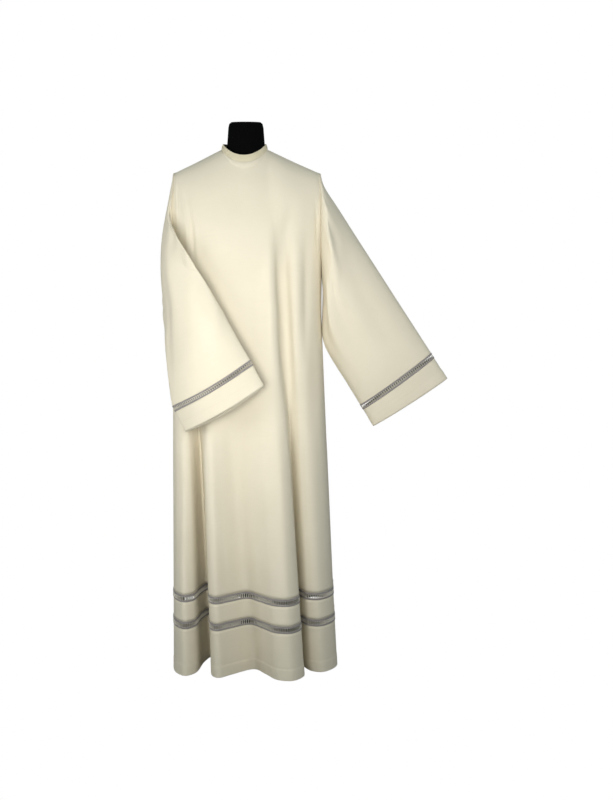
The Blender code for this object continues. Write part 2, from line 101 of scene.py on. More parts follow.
def add_lamp(name, place, aim, side, watts, spread_deg, colour):
    """A square soft lamp that faces the point it is aimed at."""
    lamp = bpy.data.lights.new(name, "AREA")
    lamp.size, lamp.energy, lamp.color = side, watts, colour
    lamp.spread = math.radians(spread_deg)
    holder = bpy.data.objects.new(name, lamp)
    bpy.context.scene.collection.objects.link(holder)
    away = np.subtract(place, aim)
    holder.location = place
    tilt = math.atan2(math.hypot(away[0], away[1]), away[2])
    holder.rotation_euler = (tilt, 0, math.atan2(away[0], -away[1]))


def show_and_light(tree, seen, felt, out):
    """The camera sees one shader, and the robe is lit by the other."""
    path, mix = tree.nodes.new("ShaderNodeLightPath"), tree.nodes.new("ShaderNodeMixShader")
    tree.links.new(path.outputs["Is Camera Ray"], mix.inputs["Fac"])
    tree.links.new(felt.outputs[0], mix.inputs[1])
    tree.links.new(seen.outputs[0], mix.inputs[2])
    tree.links.new(mix.outputs[0], out.inputs[0])


def white_surround():
    """A surround that looks white, and lights the robe more weakly and more coolly than it looks."""
    world = bpy.data.worlds.new("studio")
    bpy.context.scene.world = world
    world.use_nodes = True
    tree = world.node_tree
    tree.nodes.clear()
    seen, felt = tree.nodes.new("ShaderNodeBackground"), tree.nodes.new("ShaderNodeBackground")
    seen.inputs["Color"].default_value, seen.inputs["Strength"].default_value = (1, 1, 1, 1), 1.0
    felt.inputs["Color"].default_value = SURROUND_COLOUR
    felt.inputs["Strength"].default_value = SURROUND_LIGHT
    show_and_light(tree, seen, felt, tree.nodes.new("ShaderNodeOutputWorld"))


def floor_paint():
    """Pale paint that is seen as white, but sends only a little light up to the hem."""
    material = bpy.data.materials.new("floor_paint")
    material.use_nodes = True
    tree = material.node_tree
    glow, paint = tree.nodes.new("ShaderNodeEmission"), tree.nodes.new("ShaderNodeBsdfDiffuse")
    paint.inputs["Color"].default_value = FLOOR_COLOUR
    show_and_light(tree, glow, paint, tree.nodes["Material Output"])
    tree.nodes.remove(tree.nodes["Principled BSDF"])
    return material


def add_floor(side):
    """A pale square floor, at the height that the foot plate stands on."""
    mesh = bpy.data.meshes.new("floor")
    corners = [(-side, -side, 0), (side, -side, 0), (side, side, 0), (-side, side, 0)]
    mesh.from_pydata(corners, [], [(0, 1, 2, 3)])
    floor = bpy.data.objects.new("floor", mesh)
    bpy.context.scene.collection.objects.link(floor)
    mesh.materials.append(floor_paint())


for lamp_name, lamp_plan in LAMPS.items():
    add_lamp(lamp_name, *lamp_plan)
white_surround()
add_floor(FLOOR_SIDE)
bpy.context.scene.view_settings.view_transform = "Standard"
print("lamps:", len(LAMPS))

# %% [markdown]
# The body of the robe is one tube, pleated by its own weight. Its shape is a plain tube plus a set of folds.
# Each fold is a cone: it starts from nothing at some height and opens down to the hem. So one table of fold
# lines, with where each meets the hem, gives the whole skirt. The sizes are those of the solid pieces.

# %% Sizes of the robe's body
HEM_Z = 0.008
LOWER_BAND_Z = (0.137, 0.157)
UPPER_BAND_Z = (0.211, 0.231)
CHEST_Z = 0.95
MIDDLE_Y = -0.030
CHEST_HALF_WIDTH, HEM_HALF_WIDTH = 0.207, 0.212
CHEST_FRONT, HEM_FRONT = 0.125, 0.140
CHEST_BACK, HEM_BACK = 0.120, 0.150
TUBE_SQUARENESS = 2.4

FOLD_LINES = [
    # name, chest_deg, hem_x, hem_y, start_z
    ("right_side", -90, -0.205, -0.030, 1.00),
    ("right_side_front", -75, -0.207, -0.105, 1.00),
    ("right_corner", -66, -0.193, -0.163, 1.00),
    ("right_crown", -57, -0.168, -0.190, 1.00),
    ("right_turn", -49, -0.143, -0.164, 1.02),
    ("right_tuck", -43, -0.125, -0.062, 1.05),
    ("right_deep_valley", -39, -0.108, -0.012, 1.05),
    ("middle_right_edge", -33, -0.093, -0.190, 1.05),
    ("middle_right_crown", -27, -0.076, -0.208, 1.05),
    ("middle_slope", -20, -0.040, -0.176, 0.98),
    ("middle_soft_valley", -13, 0.020, -0.128, 0.92),
    ("middle_rise", -4, 0.053, -0.173, 0.98),
    ("middle_crown", 5, 0.087, -0.226, 1.10),
    ("middle_left_crown", 11, 0.126, -0.235, 1.25),
    ("middle_left_edge", 16, 0.158, -0.190, 1.30),
    ("left_valley", 22, 0.148, -0.085, 1.32),
    ("left_inner_crown", 30, 0.178, -0.143, 1.25),
    ("left_crown", 41, 0.207, -0.155, 1.10),
    ("left_corner", 55, 0.236, -0.127, 1.00),
    ("left_side_front", 69, 0.251, -0.085, 0.98),
    ("left_side", 90, 0.247, -0.030, 0.98),
    ("back_left_ridge", 100, 0.248, 0.022, 1.00),
    ("back_left_valley", 109, 0.220, 0.052, 1.00),
    ("back_left_crown", 118, 0.230, 0.110, 1.02),
    ("back_left_slope", 129, 0.188, 0.128, 1.05),
    ("back_valley_1", 137, 0.152, 0.092, 1.08),
    ("back_crown_1", 146, 0.136, 0.170, 1.10),
    ("back_slope_1", 155, 0.092, 0.180, 1.12),
    ("back_valley_2", 163, 0.070, 0.112, 1.15),
    ("back_crown_2", 172, 0.040, 0.186, 1.15),
    ("back_middle", 181, -0.004, 0.194, 1.12),
    ("back_valley_3", 190, -0.030, 0.118, 1.15),
    ("back_crown_3", 199, -0.060, 0.178, 1.12),
    ("back_slope_3", 208, -0.105, 0.182, 1.08),
    ("back_valley_4", 217, -0.128, 0.102, 1.08),
    ("back_right_crown", 228, -0.163, 0.134, 1.02),
    ("back_right_corner", 239, -0.197, 0.110, 1.00),
    ("back_right_valley", 250, -0.186, 0.050, 1.00),
    ("back_right_ridge", 260, -0.205, 0.014, 1.00),
]

# %% [markdown]
# At the top the body ends in three kinds of border: the neckline, the two shoulder seams and the two
# armholes. The columns of the cloth run down from these borders, so that every seam falls on a row or a
# column. Columns lie closer together next to the side seams, where the sewn groove needs them.

# %% Sizes of the neck, shoulders and armholes
NECK_X = -0.004
NECKLINE = {"half_width": 0.063, "front": 0.063, "back": 0.066, "side_z": 1.442, "front_z": 1.407,
            "back_z": 1.436}
NECKBAND_TOP = {"half_width": 0.0585, "front": 0.059, "back": 0.060, "side_z": 1.4565, "front_z": 1.426,
                "back_z": 1.456}
TIPS = {"left": (0.203, 1.378), "right": (-0.1975, 1.379)}
PITS = {"left": (0.207, 1.085), "right": (-0.207, 1.085)}
ARMHOLE_FRONT, ARMHOLE_BACK = 0.062, 0.080
SHOULDER_CURVE, NECK_DIP_CURVE = 1.1, 1.6

even = np.linspace(0, 1, 49)
armhole_parts = np.concatenate([even[:-1], [0.986, 0.992, 0.996, 1.0]])  # shoulder tip to armpit
shoulder_parts = np.linspace(0, 1, 53)
neck_parts = np.linspace(0, 1, 73)
TOP_STRETCHES = [
    # from_deg, to_deg, border, how far along it each column ends
    (-90, -51, "right_armhole_front", 1 - armhole_parts[::-1]),
    (-51, -20, "right_shoulder_front", shoulder_parts),
    (-20, 20, "neckline_front", neck_parts),
    (20, 51, "left_shoulder_front", shoulder_parts),
    (51, 90, "left_armhole_front", armhole_parts),
    (90, 129, "left_armhole_back", 1 - armhole_parts[::-1]),
    (129, 160, "left_shoulder_back", shoulder_parts),
    (160, 200, "neckline_back", neck_parts),
    (200, 231, "right_shoulder_back", shoulder_parts),
    (231, 270, "right_armhole_back", armhole_parts),
]
column_counts = [len(stretch[3]) - 1 for stretch in TOP_STRETCHES]
front_count = sum(column_counts[:5])
print("columns round the body:", sum(column_counts))

# %% Curves of the borders


def smooth_closed_curve(points, count):
    """A closed curve through the points. Between two points it is the cubic whose ends have the curve's own
    slopes; the parameter grows with the square root of the distance, which keeps the curve from looping."""
    ring = np.vstack([points, points[:1]])
    steps = np.sqrt(np.linalg.norm(np.diff(ring, axis=0), axis=1))
    knots = np.concatenate([[0], np.cumsum(steps)])
    slopes = np.diff(ring, axis=0) / steps[:, None]
    before, after = np.roll(steps, 1)[:, None], steps[:, None]
    tangents = (np.roll(slopes, 1, axis=0) * after + slopes * before) / (before + after)
    at = np.linspace(0, knots[-1], count + 1)
    piece = np.clip(np.searchsorted(knots, at, side="right") - 1, 0, len(points) - 1)
    following = (piece + 1) % len(points)
    size = steps[piece][:, None]
    part = (at[:, None] - knots[piece][:, None]) / size
    curve = cubic(part, size, points[piece], tangents[piece], points[following], tangents[following])
    return at, curve, knots


def cubic(part, size, start, start_slope, end, end_slope):
    """The cubic from start to end that leaves and arrives with the given slopes, part of the way along."""
    return (
        (2 * part**3 - 3 * part**2 + 1) * start
        + (part**3 - 2 * part**2 + part) * size * start_slope
        + (3 * part**2 - 2 * part**3) * end
        + (part**3 - part**2) * size * end_slope
    )


def tube_point(degrees, z):
    """The plain tube: x and y are powers of the sine and cosine of the angle round it, times its half width
    and its depth, which grow downwards from the chest."""
    down = np.clip((CHEST_Z - z) / (CHEST_Z - HEM_Z), 0, 1)
    angle = np.radians(degrees)
    across, forward = np.sin(angle), np.cos(angle)
    half_width = CHEST_HALF_WIDTH + (HEM_HALF_WIDTH - CHEST_HALF_WIDTH) * down
    front = CHEST_FRONT + (HEM_FRONT - CHEST_FRONT) * down
    back = CHEST_BACK + (HEM_BACK - CHEST_BACK) * down
    power = 2 / TUBE_SQUARENESS
    x = half_width * np.sign(across) * np.abs(across) ** power
    y = MIDDLE_Y - np.where(forward > 0, front, back) * np.sign(forward) * np.abs(forward) ** power
    return np.stack([x, y], axis=-1)


def neck_ring(ring, degrees):
    """A ring round the neck: an ellipse whose height drops from its sides to its front and back as a power
    of the cosine."""
    angle = np.radians(degrees)
    forward = np.cos(angle)
    x = NECK_X + ring["half_width"] * np.sin(angle)
    y = MIDDLE_Y - np.where(forward > 0, ring["front"], ring["back"]) * forward
    drop = np.where(forward > 0, ring["side_z"] - ring["front_z"], ring["side_z"] - ring["back_z"])
    return np.stack([x, y, ring["side_z"] - drop * np.abs(forward) ** NECK_DIP_CURVE], axis=-1)


def armhole_point(hand, degrees):
    """The armhole's loop: its height follows the cosine from the shoulder tip (0) to the armpit (180), and
    it bows forwards and backwards with the sine."""
    tip, pit = TIPS[hand], PITS[hand]
    angle = np.radians(degrees)
    low = (1 - np.cos(angle)) / 2
    bow = np.where(np.sin(angle) > 0, ARMHOLE_FRONT, ARMHOLE_BACK)
    x = tip[0] + (pit[0] - tip[0]) * low
    z = tip[1] + (pit[1] - tip[1]) * low
    return np.stack([x, MIDDLE_Y - bow * np.sin(angle), z], axis=-1)


def shoulder_point(hand, out):
    """The shoulder seam, from the neckline (0) to the shoulder's tip (1): it falls a little faster near the
    neck."""
    tip = TIPS[hand]
    neck = neck_ring(NECKLINE, 90.0 if hand == "left" else -90.0)
    x = neck[0] + (tip[0] - neck[0]) * out
    z = tip[1] + (neck[2] - tip[1]) * (1 - out) ** SHOULDER_CURVE
    return np.stack([x, np.full_like(x, MIDDLE_Y), z], axis=-1)


def top_border(border, part):
    """Points of one stretch of the body's top border, part of the way along it (0 to 1)."""
    hand = border.split("_")[0]
    if border == "neckline_front":
        return neck_ring(NECKLINE, -90 + 180 * part)
    if border == "neckline_back":
        return neck_ring(NECKLINE, 90 + 180 * part)
    if "shoulder" in border:
        outwards = (hand == "left") == border.endswith("front")
        return shoulder_point(hand, part if outwards else 1 - part)
    start = {"left_armhole_front": 0, "left_armhole_back": 180, "right_armhole_front": 180,
             "right_armhole_back": 360}[border]
    return armhole_point(hand, start + (180 if hand == "left" else -180) * part)


# %% The body as a function of height and column
DENSE = 4000  # points of the hem's curve from which the columns are picked
NEAR_NECK_X = (0.080, 0.040)  # the chest's shape changes over this stretch of width
SHOULDER_ROUND, NECK_ROUND, FOLD_CLOSE = 3.5, 3, 4  # powers: how late each shape closes on the way up


def body_columns():
    """For each column: its angle round the chest, its point on the folded hem, the height where its fold
    starts, and its point on the top border."""
    angles = np.array([row[1] for row in FOLD_LINES], float)
    hem = np.array([row[2:4] for row in FOLD_LINES])
    starts = np.array([row[4] for row in FOLD_LINES])
    at, curve, knots = smooth_closed_curve(hem, DENSE)
    degrees = np.interp(at, knots, np.append(angles, angles[0] + 360))
    start = np.interp(at, knots, np.append(starts, starts[0]))
    along = np.concatenate([[0], np.cumsum(np.linalg.norm(np.diff(curve, axis=0), axis=1))])
    picked, tops = [], []
    for first, last, border, parts in TOP_STRETCHES:
        ends = np.interp([first, last], degrees, along)
        picked.append(ends[0] + (ends[1] - ends[0]) * parts[:-1])
        tops.append(top_border(border, parts[:-1]))
    picked = np.append(np.concatenate(picked), along[-1])
    tops = np.vstack([*tops, tops[0][:1]])
    at_column = np.interp(picked, along, at)
    hem_points = np.stack([np.interp(at_column, at, curve[:, axis]) for axis in (0, 1)], axis=-1)
    hem_points[-1] = hem_points[0]
    return np.interp(at_column, at, degrees), hem_points, np.interp(at_column, at, start), tops


column_deg, column_hem, column_start, column_top = body_columns()
column_fold = column_hem - tube_point(column_deg, HEM_Z)


def skirt_rows(heights):
    """Rows below the chest: the plain tube's point, plus the column's fold times how far it has opened,
    which grows evenly from the height where the fold starts down to the hem."""
    rows = []
    for z in heights:
        opened = np.clip((column_start - z) / (column_start - HEM_Z), 0, 1)[:, None]
        rows.append(np.column_stack([tube_point(column_deg, z) + column_fold * opened,
                                     np.full(len(column_deg), z)]))
    return np.array(rows)


def chest_rows(parts):
    """Rows from the chest to the top border. Height grows as the sine of the part of the way up; the depth
    closes towards the border like a rounded shoulder, and more evenly next to the neck."""
    chest = tube_point(column_deg, CHEST_Z)
    outer_x, inner_x = NEAR_NECK_X
    near_neck = np.clip((outer_x - np.abs(column_top[:, 0])) / (outer_x - inner_x), 0, 1)
    rows = []
    for up in np.sin(np.pi / 2 * parts):
        up = min(up, 1.0)
        depth = (1 - near_neck) * (1 - up**SHOULDER_ROUND) ** 0.5 + near_neck * (1 - up**NECK_ROUND)
        z = CHEST_Z + (column_top[:, 2] - CHEST_Z) * up
        opened = np.clip((column_start - z) / (column_start - HEM_Z), 0, 1) * (1 - up**FOLD_CLOSE)
        x = chest[:, 0] + (column_top[:, 0] - chest[:, 0]) * up**2 + column_fold[:, 0] * opened
        y = column_top[:, 1] + (chest[:, 1] - column_top[:, 1]) * depth + column_fold[:, 1] * opened
        rows.append(np.column_stack([x, y, z]))
    return np.array(rows)


# %% [markdown]
# Cloth that hangs from a shoulder does not crease sharply at the corner of the neck, and its folds begin
# gently. So between the top border and the waist, the surface is averaged with its near neighbours.

# %% Soften the chest and shoulders
SOFT_COLUMNS, SOFT_ROWS = 11, 4  # reach of the averaging, in columns and rows
SOFT_FROM_Z, SOFT_FULL_Z = 0.60, 0.80
SOFT_EDGE_ROWS = 12  # the averaging fades in over this many rows from an edge that keeps its place


def bell_mean(grid, reach, axis):
    """The mean of each point and its neighbours along one axis, weighted by a bell curve."""
    shifts = range(-2 * reach, 2 * reach + 1)
    weights = [math.exp(-((shift / reach) ** 2)) for shift in shifts]
    total = sum(weight * np.roll(grid, shift, axis=axis) for weight, shift in zip(weights, shifts))
    return total / sum(weights)


def averaged(ring, columns, rows):
    """The mean over near columns and rows. Past its first and last rows the ring repeats them."""
    beyond = 2 * rows
    padded = np.concatenate([np.repeat(ring[:1], beyond, 0), ring, np.repeat(ring[-1:], beyond, 0)])
    return bell_mean(bell_mean(padded, columns, 1), rows, 0)[beyond:-beyond]


def moved_towards(ring, mean, amount):
    """The ring moved part of the way to its mean, and closed again with its first column."""
    softened = ring + (mean - ring) * amount
    return np.concatenate([softened, softened[:, :1]], axis=1)


def soften(grid):
    """The closed grid with its upper part averaged. The averaging fades out at the waist, and over the last
    few rows under the top border, which keeps its place."""
    ring = grid[:, :-1]
    row = np.arange(len(ring))[:, None]
    below_top = np.clip((len(ring) - 1 - row) / SOFT_EDGE_ROWS, 0, 1)
    above_waist = np.clip((ring[..., 2] - SOFT_FROM_Z) / (SOFT_FULL_Z - SOFT_FROM_Z), 0, 1)
    amount = (below_top * above_waist)[..., None]
    return moved_towards(ring, averaged(ring, SOFT_COLUMNS, SOFT_ROWS), amount)


# %% [markdown]
# Each sleeve is a flattened tube. It is given by nine sections from the armhole to the cuff, and each section
# by four points: its outer fold, its front, its inner fold and its back. A section is an ellipse whose long
# axis is bent like a crescent, so that it reaches all four. A smooth curve through the sections, column by
# column, gives the surface. The right sleeve's cloth is turned round the arm at the top, because the arm
# comes forward and across.

# %% Sizes of the sleeves
SLEEVES = {
    "left": [
        # name, turn_deg, outer, front, inner, back
        ("cap", 0, (0.2125, -0.030, 1.343), (0.223, -0.122, 1.200), (0.2115, -0.035, 1.045),
         (0.223, 0.050, 1.200)),
        ("upper_arm", 0, (0.251, -0.030, 1.284), (0.242, -0.118, 1.130), (0.2135, -0.040, 0.985),
         (0.242, 0.036, 1.130)),
        ("arm", 0, (0.294, -0.030, 1.217), (0.264, -0.108, 1.060), (0.2155, -0.045, 0.925),
         (0.264, 0.022, 1.060)),
        ("elbow", 0, (0.354, -0.030, 1.125), (0.302, -0.098, 0.985), (0.239, -0.045, 0.868),
         (0.302, 0.012, 0.985)),
        ("forearm", 0, (0.414, -0.032, 1.0325), (0.346, -0.090, 0.915), (0.2725, -0.045, 0.809),
         (0.346, 0.006, 0.915)),
        ("wrist", 0, (0.4685, -0.034, 0.949), (0.387, -0.084, 0.850), (0.300, -0.045, 0.764),
         (0.387, 0.000, 0.850)),
        ("band_top", 0, (0.510, -0.035, 0.885), (0.412, -0.078, 0.8135), (0.3134, -0.045, 0.742),
         (0.412, -0.004, 0.8135)),
        ("band_end", 0, (0.519, -0.035, 0.8705), (0.421, -0.076, 0.799), (0.3223, -0.045, 0.728),
         (0.421, -0.006, 0.799)),
        ("cuff_edge", 0, (0.556, -0.036, 0.8137), (0.4535, -0.070, 0.7475), (0.3508, -0.045, 0.6815),
         (0.4535, -0.012, 0.7475)),
    ],
    "right": [
        ("cap", 90, (-0.225, 0.034, 1.185), (-0.2115, -0.048, 1.308), (-0.2110, -0.099, 1.205),
         (-0.213, -0.045, 1.060)),
        ("upper_arm", 80, (-0.2305, 0.000, 1.115), (-0.2225, -0.090, 1.205), (-0.160, -0.172, 1.165),
         (-0.212, -0.085, 1.048)),
        ("arm", 60, (-0.2285, -0.032, 1.045), (-0.214, -0.125, 1.120), (-0.113, -0.184, 1.100),
         (-0.209, -0.118, 1.025)),
        ("elbow", 30, (-0.2265, -0.072, 0.985), (-0.165, -0.196, 1.035), (-0.059, -0.186, 1.012),
         (-0.180, -0.150, 0.975)),
        ("forearm", 10, (-0.2215, -0.105, 0.915), (-0.135, -0.212, 0.960), (-0.038, -0.192, 0.974),
         (-0.135, -0.178, 0.920)),
        ("wrist", 0, (-0.2115, -0.130, 0.830), (-0.110, -0.220, 0.880), (-0.0106, -0.200, 0.924),
         (-0.105, -0.190, 0.860)),
        ("band_top", 0, (-0.1986, -0.150, 0.751), (-0.090, -0.226, 0.815), (0.0145, -0.206, 0.8825),
         (-0.090, -0.199, 0.805)),
        ("band_end", 0, (-0.1904, -0.154, 0.736), (-0.083, -0.227, 0.801), (0.0225, -0.208, 0.868),
         (-0.083, -0.201, 0.791)),
        ("cuff_edge", 0, (-0.162, -0.168, 0.684), (-0.054, -0.230, 0.747), (0.051, -0.212, 0.8131),
         (-0.054, -0.207, 0.737)),
    ],
}
BAND_TOP_ROW, BAND_END_ROW, CUFF_ROW = 7, 8, 9  # counted from the armhole, which is row 0
SLEEVE_STEPS, CUFF_STEPS = 16, 14  # rows from one section to the next
SLEEVE_SOFT_COLUMNS, SLEEVE_SOFT_ROWS = 1, 5

# %% Sleeve surfaces


def sleeve_degrees(hand):
    """Angles round a sleeve from its outer fold, so that its columns meet the body's at the armhole."""
    front, back = 180 * armhole_parts, 180 + 180 * (1 - armhole_parts[::-1])
    degrees = np.concatenate([front[:-1], back])
    return degrees if hand == "left" else degrees[::-1]


def sleeve_sections(hand):
    """The armhole and then each section: middle + cosine x half the long axis + sine squared x the bow +
    sine x half the thickness."""
    degrees = sleeve_degrees(hand)
    rows = [armhole_point(hand, degrees)]
    for _, turn, outer, front, inner, back in SLEEVES[hand]:
        outer, front, inner, back = (np.array(point) for point in (outer, front, inner, back))
        angle = np.radians(degrees + turn)
        across, forward = np.cos(angle)[:, None], np.sin(angle)[:, None]
        middle = (outer + inner) / 2
        bow = (front + back) / 2 - middle
        rows.append(middle + across * (outer - inner) / 2 + forward**2 * bow + forward * (front - back) / 2)
    return np.array(rows)


def through_sections(sections, first, last, steps):
    """Rows of a smooth surface from one section to another: column by column, the cubic curve through all
    the sections, whose parameter grows with the square root of their mean distance."""
    gaps = np.sqrt(np.linalg.norm(np.diff(sections, axis=0), axis=2).mean(axis=1))
    slopes = np.diff(sections, axis=0) / gaps[:, None, None]
    inner = (slopes[:-1] * gaps[1:, None, None] + slopes[1:] * gaps[:-1, None, None]) / (
        gaps[1:] + gaps[:-1])[:, None, None]
    tangents = np.concatenate([slopes[:1], inner, slopes[-1:]])
    rows = []
    for section in range(first, last):
        parts = np.linspace(0, 1, steps, endpoint=False)[:, None, None]
        rows.append(cubic(parts, gaps[section], sections[section], tangents[section],
                          sections[section + 1], tangents[section + 1]))
    rows.append(sections[last][None])
    return np.concatenate(rows)


def soften_sleeve(grid):
    """A sleeve averaged along its length and very little round it, but not at its two ends."""
    ring = grid[:, :-1]
    row = np.arange(len(ring))[:, None, None]
    inside = np.clip(np.minimum(row, len(ring) - 1 - row) / SOFT_EDGE_ROWS, 0, 1)
    return moved_towards(ring, averaged(ring, SLEEVE_SOFT_COLUMNS, SLEEVE_SOFT_ROWS), inside)


# %% [markdown]
# A sheet of cloth becomes a mesh in three steps: a grid of points, the direction that faces outwards at each
# point, and how far each point is pushed along it. Pieces that are sewn together share the points and the
# directions of their common border, so their edges stay together whatever is pressed into them.

# %% Helpers for grids of points


def unit(vectors):
    """Each vector divided by its length."""
    return vectors / np.maximum(np.linalg.norm(vectors, axis=-1, keepdims=True), 1e-12)


def point_normals(grid, closed):
    """The outward direction at each grid point: the mean of the faces round it."""
    across = grid[:, 1:] - grid[:, :-1]
    up = grid[1:] - grid[:-1]
    faces = np.cross(across[:-1] + across[1:], up[:, :-1] + up[:, 1:])
    total = np.zeros_like(grid)
    for rows in (slice(0, -1), slice(1, None)):
        for columns in (slice(0, -1), slice(1, None)):
            total[rows, columns] += faces
    if closed:
        total[:, 0] += total[:, -1]
        total[:, -1] = total[:, 0]
    return unit(total)


def shared_normals(grids):
    """Each piece's outward directions, with one direction for all the points that lie in the same place."""
    own = [point_normals(grid, closed).reshape(-1, 3) for grid, closed in grids.values()]
    places = np.vstack([grid.reshape(-1, 3) for grid, _ in grids.values()])
    _, place = np.unique(np.round(places, 6), axis=0, return_inverse=True)
    place = place.reshape(-1)
    total = np.zeros((place.max() + 1, 3))
    np.add.at(total, place, np.vstack(own))
    shared = unit(total)[place]
    ends = np.cumsum([len(normals) for normals in own])[:-1]
    return {name: part.reshape(grids[name][0].shape)
            for name, part in zip(grids, np.split(shared, ends))}


def lengths_along(grid, axis):
    """Distance along the cloth from the first row (axis 0) or the first column (axis 1) to each point."""
    steps = np.linalg.norm(np.diff(grid, axis=axis), axis=2)
    start = np.zeros_like(np.take(steps, [0], axis=axis))
    return np.concatenate([start, np.cumsum(steps, axis=axis)], axis=axis)


# %% Work out every sheet's grid
HEM_STITCH_Z = 0.040  # the hem is turned up inside as far as this
ROW_STEP = 0.009

near_edge = np.array([0.0, 0.0012, 0.0026, 0.0045, 0.008])
hem_heights = np.concatenate([HEM_Z + near_edge, np.arange(0.022, 0.034, 0.004),
                              HEM_STITCH_Z + np.array([-0.003, -0.001, 0.001, 0.003]),
                              np.linspace(0.048, LOWER_BAND_Z[0], 12)])
middle_heights = np.linspace(LOWER_BAND_Z[1], UPPER_BAND_Z[0], 8)
panel_heights = np.arange(UPPER_BAND_Z[1], CHEST_Z, ROW_STEP)
up_parts = np.concatenate([np.linspace(0, 0.97, 58), [0.978, 0.985, 0.990, 0.994, 0.997, 0.9988, 1.0]])

body = {
    "strip_hem": skirt_rows(hem_heights),
    "openwork_lower": skirt_rows(LOWER_BAND_Z),
    "strip_middle": skirt_rows(middle_heights),
    "openwork_upper": skirt_rows(UPPER_BAND_Z),
    "panel": soften(np.concatenate([skirt_rows(panel_heights), chest_rows(up_parts)])),
}
HALVES = {"front": slice(0, front_count + 1), "back": slice(front_count, None)}
grids = {}
for part_name, grid in body.items():
    for half, columns in HALVES.items():
        openwork = part_name.startswith("openwork")
        grids[f"{part_name}_{half}" if openwork else f"{half}_{part_name}"] = (grid[:, columns], False)
for hand in SLEEVES:
    sections = sleeve_sections(hand)
    sleeve = through_sections(sections, 0, BAND_TOP_ROW, SLEEVE_STEPS)
    grids[f"sleeve_{hand}"] = (soften_sleeve(sleeve), True)
    grids[f"openwork_sleeve_{hand}"] = (through_sections(sections, BAND_TOP_ROW, BAND_END_ROW, 1), True)
    grids[f"cuff_{hand}"] = (through_sections(sections, BAND_END_ROW, CUFF_ROW, CUFF_STEPS), True)
normals = shared_normals(grids)
print("sheets:", len(grids), "points:", sum(grid.shape[0] * grid.shape[1] for grid, _ in grids.values()))

# %% [markdown]
# Small creases give the cloth its hand. Each is a soft trough or ridge along a line, strongest part of the
# way along and fading to nothing at both ends. On the front and back they are placed by width and height, and
# on a sleeve by the angle round it and by how far down it they lie. No two are alike.

# %% Creases of the front and back
BODY_CREASES = [
    # half, x_top, z_top, x_bottom, z_bottom, bend, width, depth (ridges are below 0)
    ("front", 0.128, 1.320, 0.104, 1.000, -0.010, 0.022, 0.0120),
    ("front", 0.104, 1.180, 0.117, 0.720, -0.003, 0.018, 0.0130),
    ("front", 0.070, 1.290, 0.068, 0.860, 0.000, 0.014, -0.0025),
    ("front", 0.140, 1.240, 0.137, 0.880, 0.004, 0.016, -0.0040),
    ("front", 0.163, 1.250, 0.165, 0.850, 0.000, 0.012, 0.0050),
    ("front", 0.045, 1.220, 0.028, 0.850, -0.006, 0.024, 0.0028),
    ("front", 0.070, 1.200, 0.068, 0.800, 0.002, 0.018, -0.0026),
    ("front", -0.164, 1.345, -0.136, 1.120, 0.006, 0.0050, 0.0036),
    ("front", -0.172, 1.330, -0.152, 1.130, 0.004, 0.0080, -0.0030),
    ("front", -0.194, 1.385, -0.190, 1.190, 0.000, 0.0024, 0.0013),
    ("front", -0.186, 1.390, -0.181, 1.200, 0.001, 0.0022, 0.0016),
    ("front", -0.178, 1.385, -0.175, 1.210, 0.000, 0.0022, 0.0012),
    ("front", -0.126, 1.240, -0.112, 1.120, 0.002, 0.0120, 0.0016),
    ("front", -0.060, 1.020, -0.075, 0.640, -0.004, 0.020, 0.0018),
    ("front", -0.020, 0.860, -0.022, 0.420, 0.004, 0.026, 0.0022),
    ("front", 0.188, 1.330, 0.196, 1.120, 0.002, 0.005, 0.0028),
    ("front", 0.190, 1.060, 0.188, 0.620, -0.003, 0.014, 0.0026),
    ("front", -0.180, 0.700, -0.186, 0.300, 0.003, 0.012, 0.0020),
    ("back", 0.150, 1.300, 0.120, 0.980, 0.010, 0.018, 0.0040),
    ("back", 0.060, 1.280, 0.052, 0.900, -0.005, 0.022, 0.0030),
    ("back", -0.020, 1.310, -0.018, 0.860, 0.004, 0.016, -0.0026),
    ("back", -0.080, 1.260, -0.090, 0.840, -0.006, 0.020, 0.0034),
    ("back", -0.150, 1.280, -0.140, 1.000, 0.008, 0.014, 0.0030),
    ("back", 0.110, 0.900, 0.112, 0.500, 0.003, 0.018, 0.0022),
    ("back", -0.120, 0.820, -0.118, 0.460, -0.004, 0.016, 0.0020),
]


CREASE_TAPER = 1.3


def crease_push(across, along, start, end, bend, width, depth):
    """How far one crease pushes each point inwards: a bell curve of the distance across it, times a taper
    that is a power of the sine of the part of the way along."""
    part = (along - start[1]) / (end[1] - start[1])
    line = start[0] + (end[0] - start[0]) * part + 4 * bend * part * (1 - part)
    taper = np.sin(np.pi * np.clip(part, 0, 1)) ** CREASE_TAPER
    return -depth * np.exp(-(((across - line) / width) ** 2)) * taper


def body_push(half, grid):
    """All the creases of one half of the body."""
    x, z = grid[..., 0], grid[..., 2]
    push = np.zeros_like(x)
    for crease_half, x_top, z_top, x_bottom, z_bottom, bend, width, depth in BODY_CREASES:
        if crease_half == half:
            push += crease_push(x, z, (x_top, z_top), (x_bottom, z_bottom), bend, width, depth)
    return push


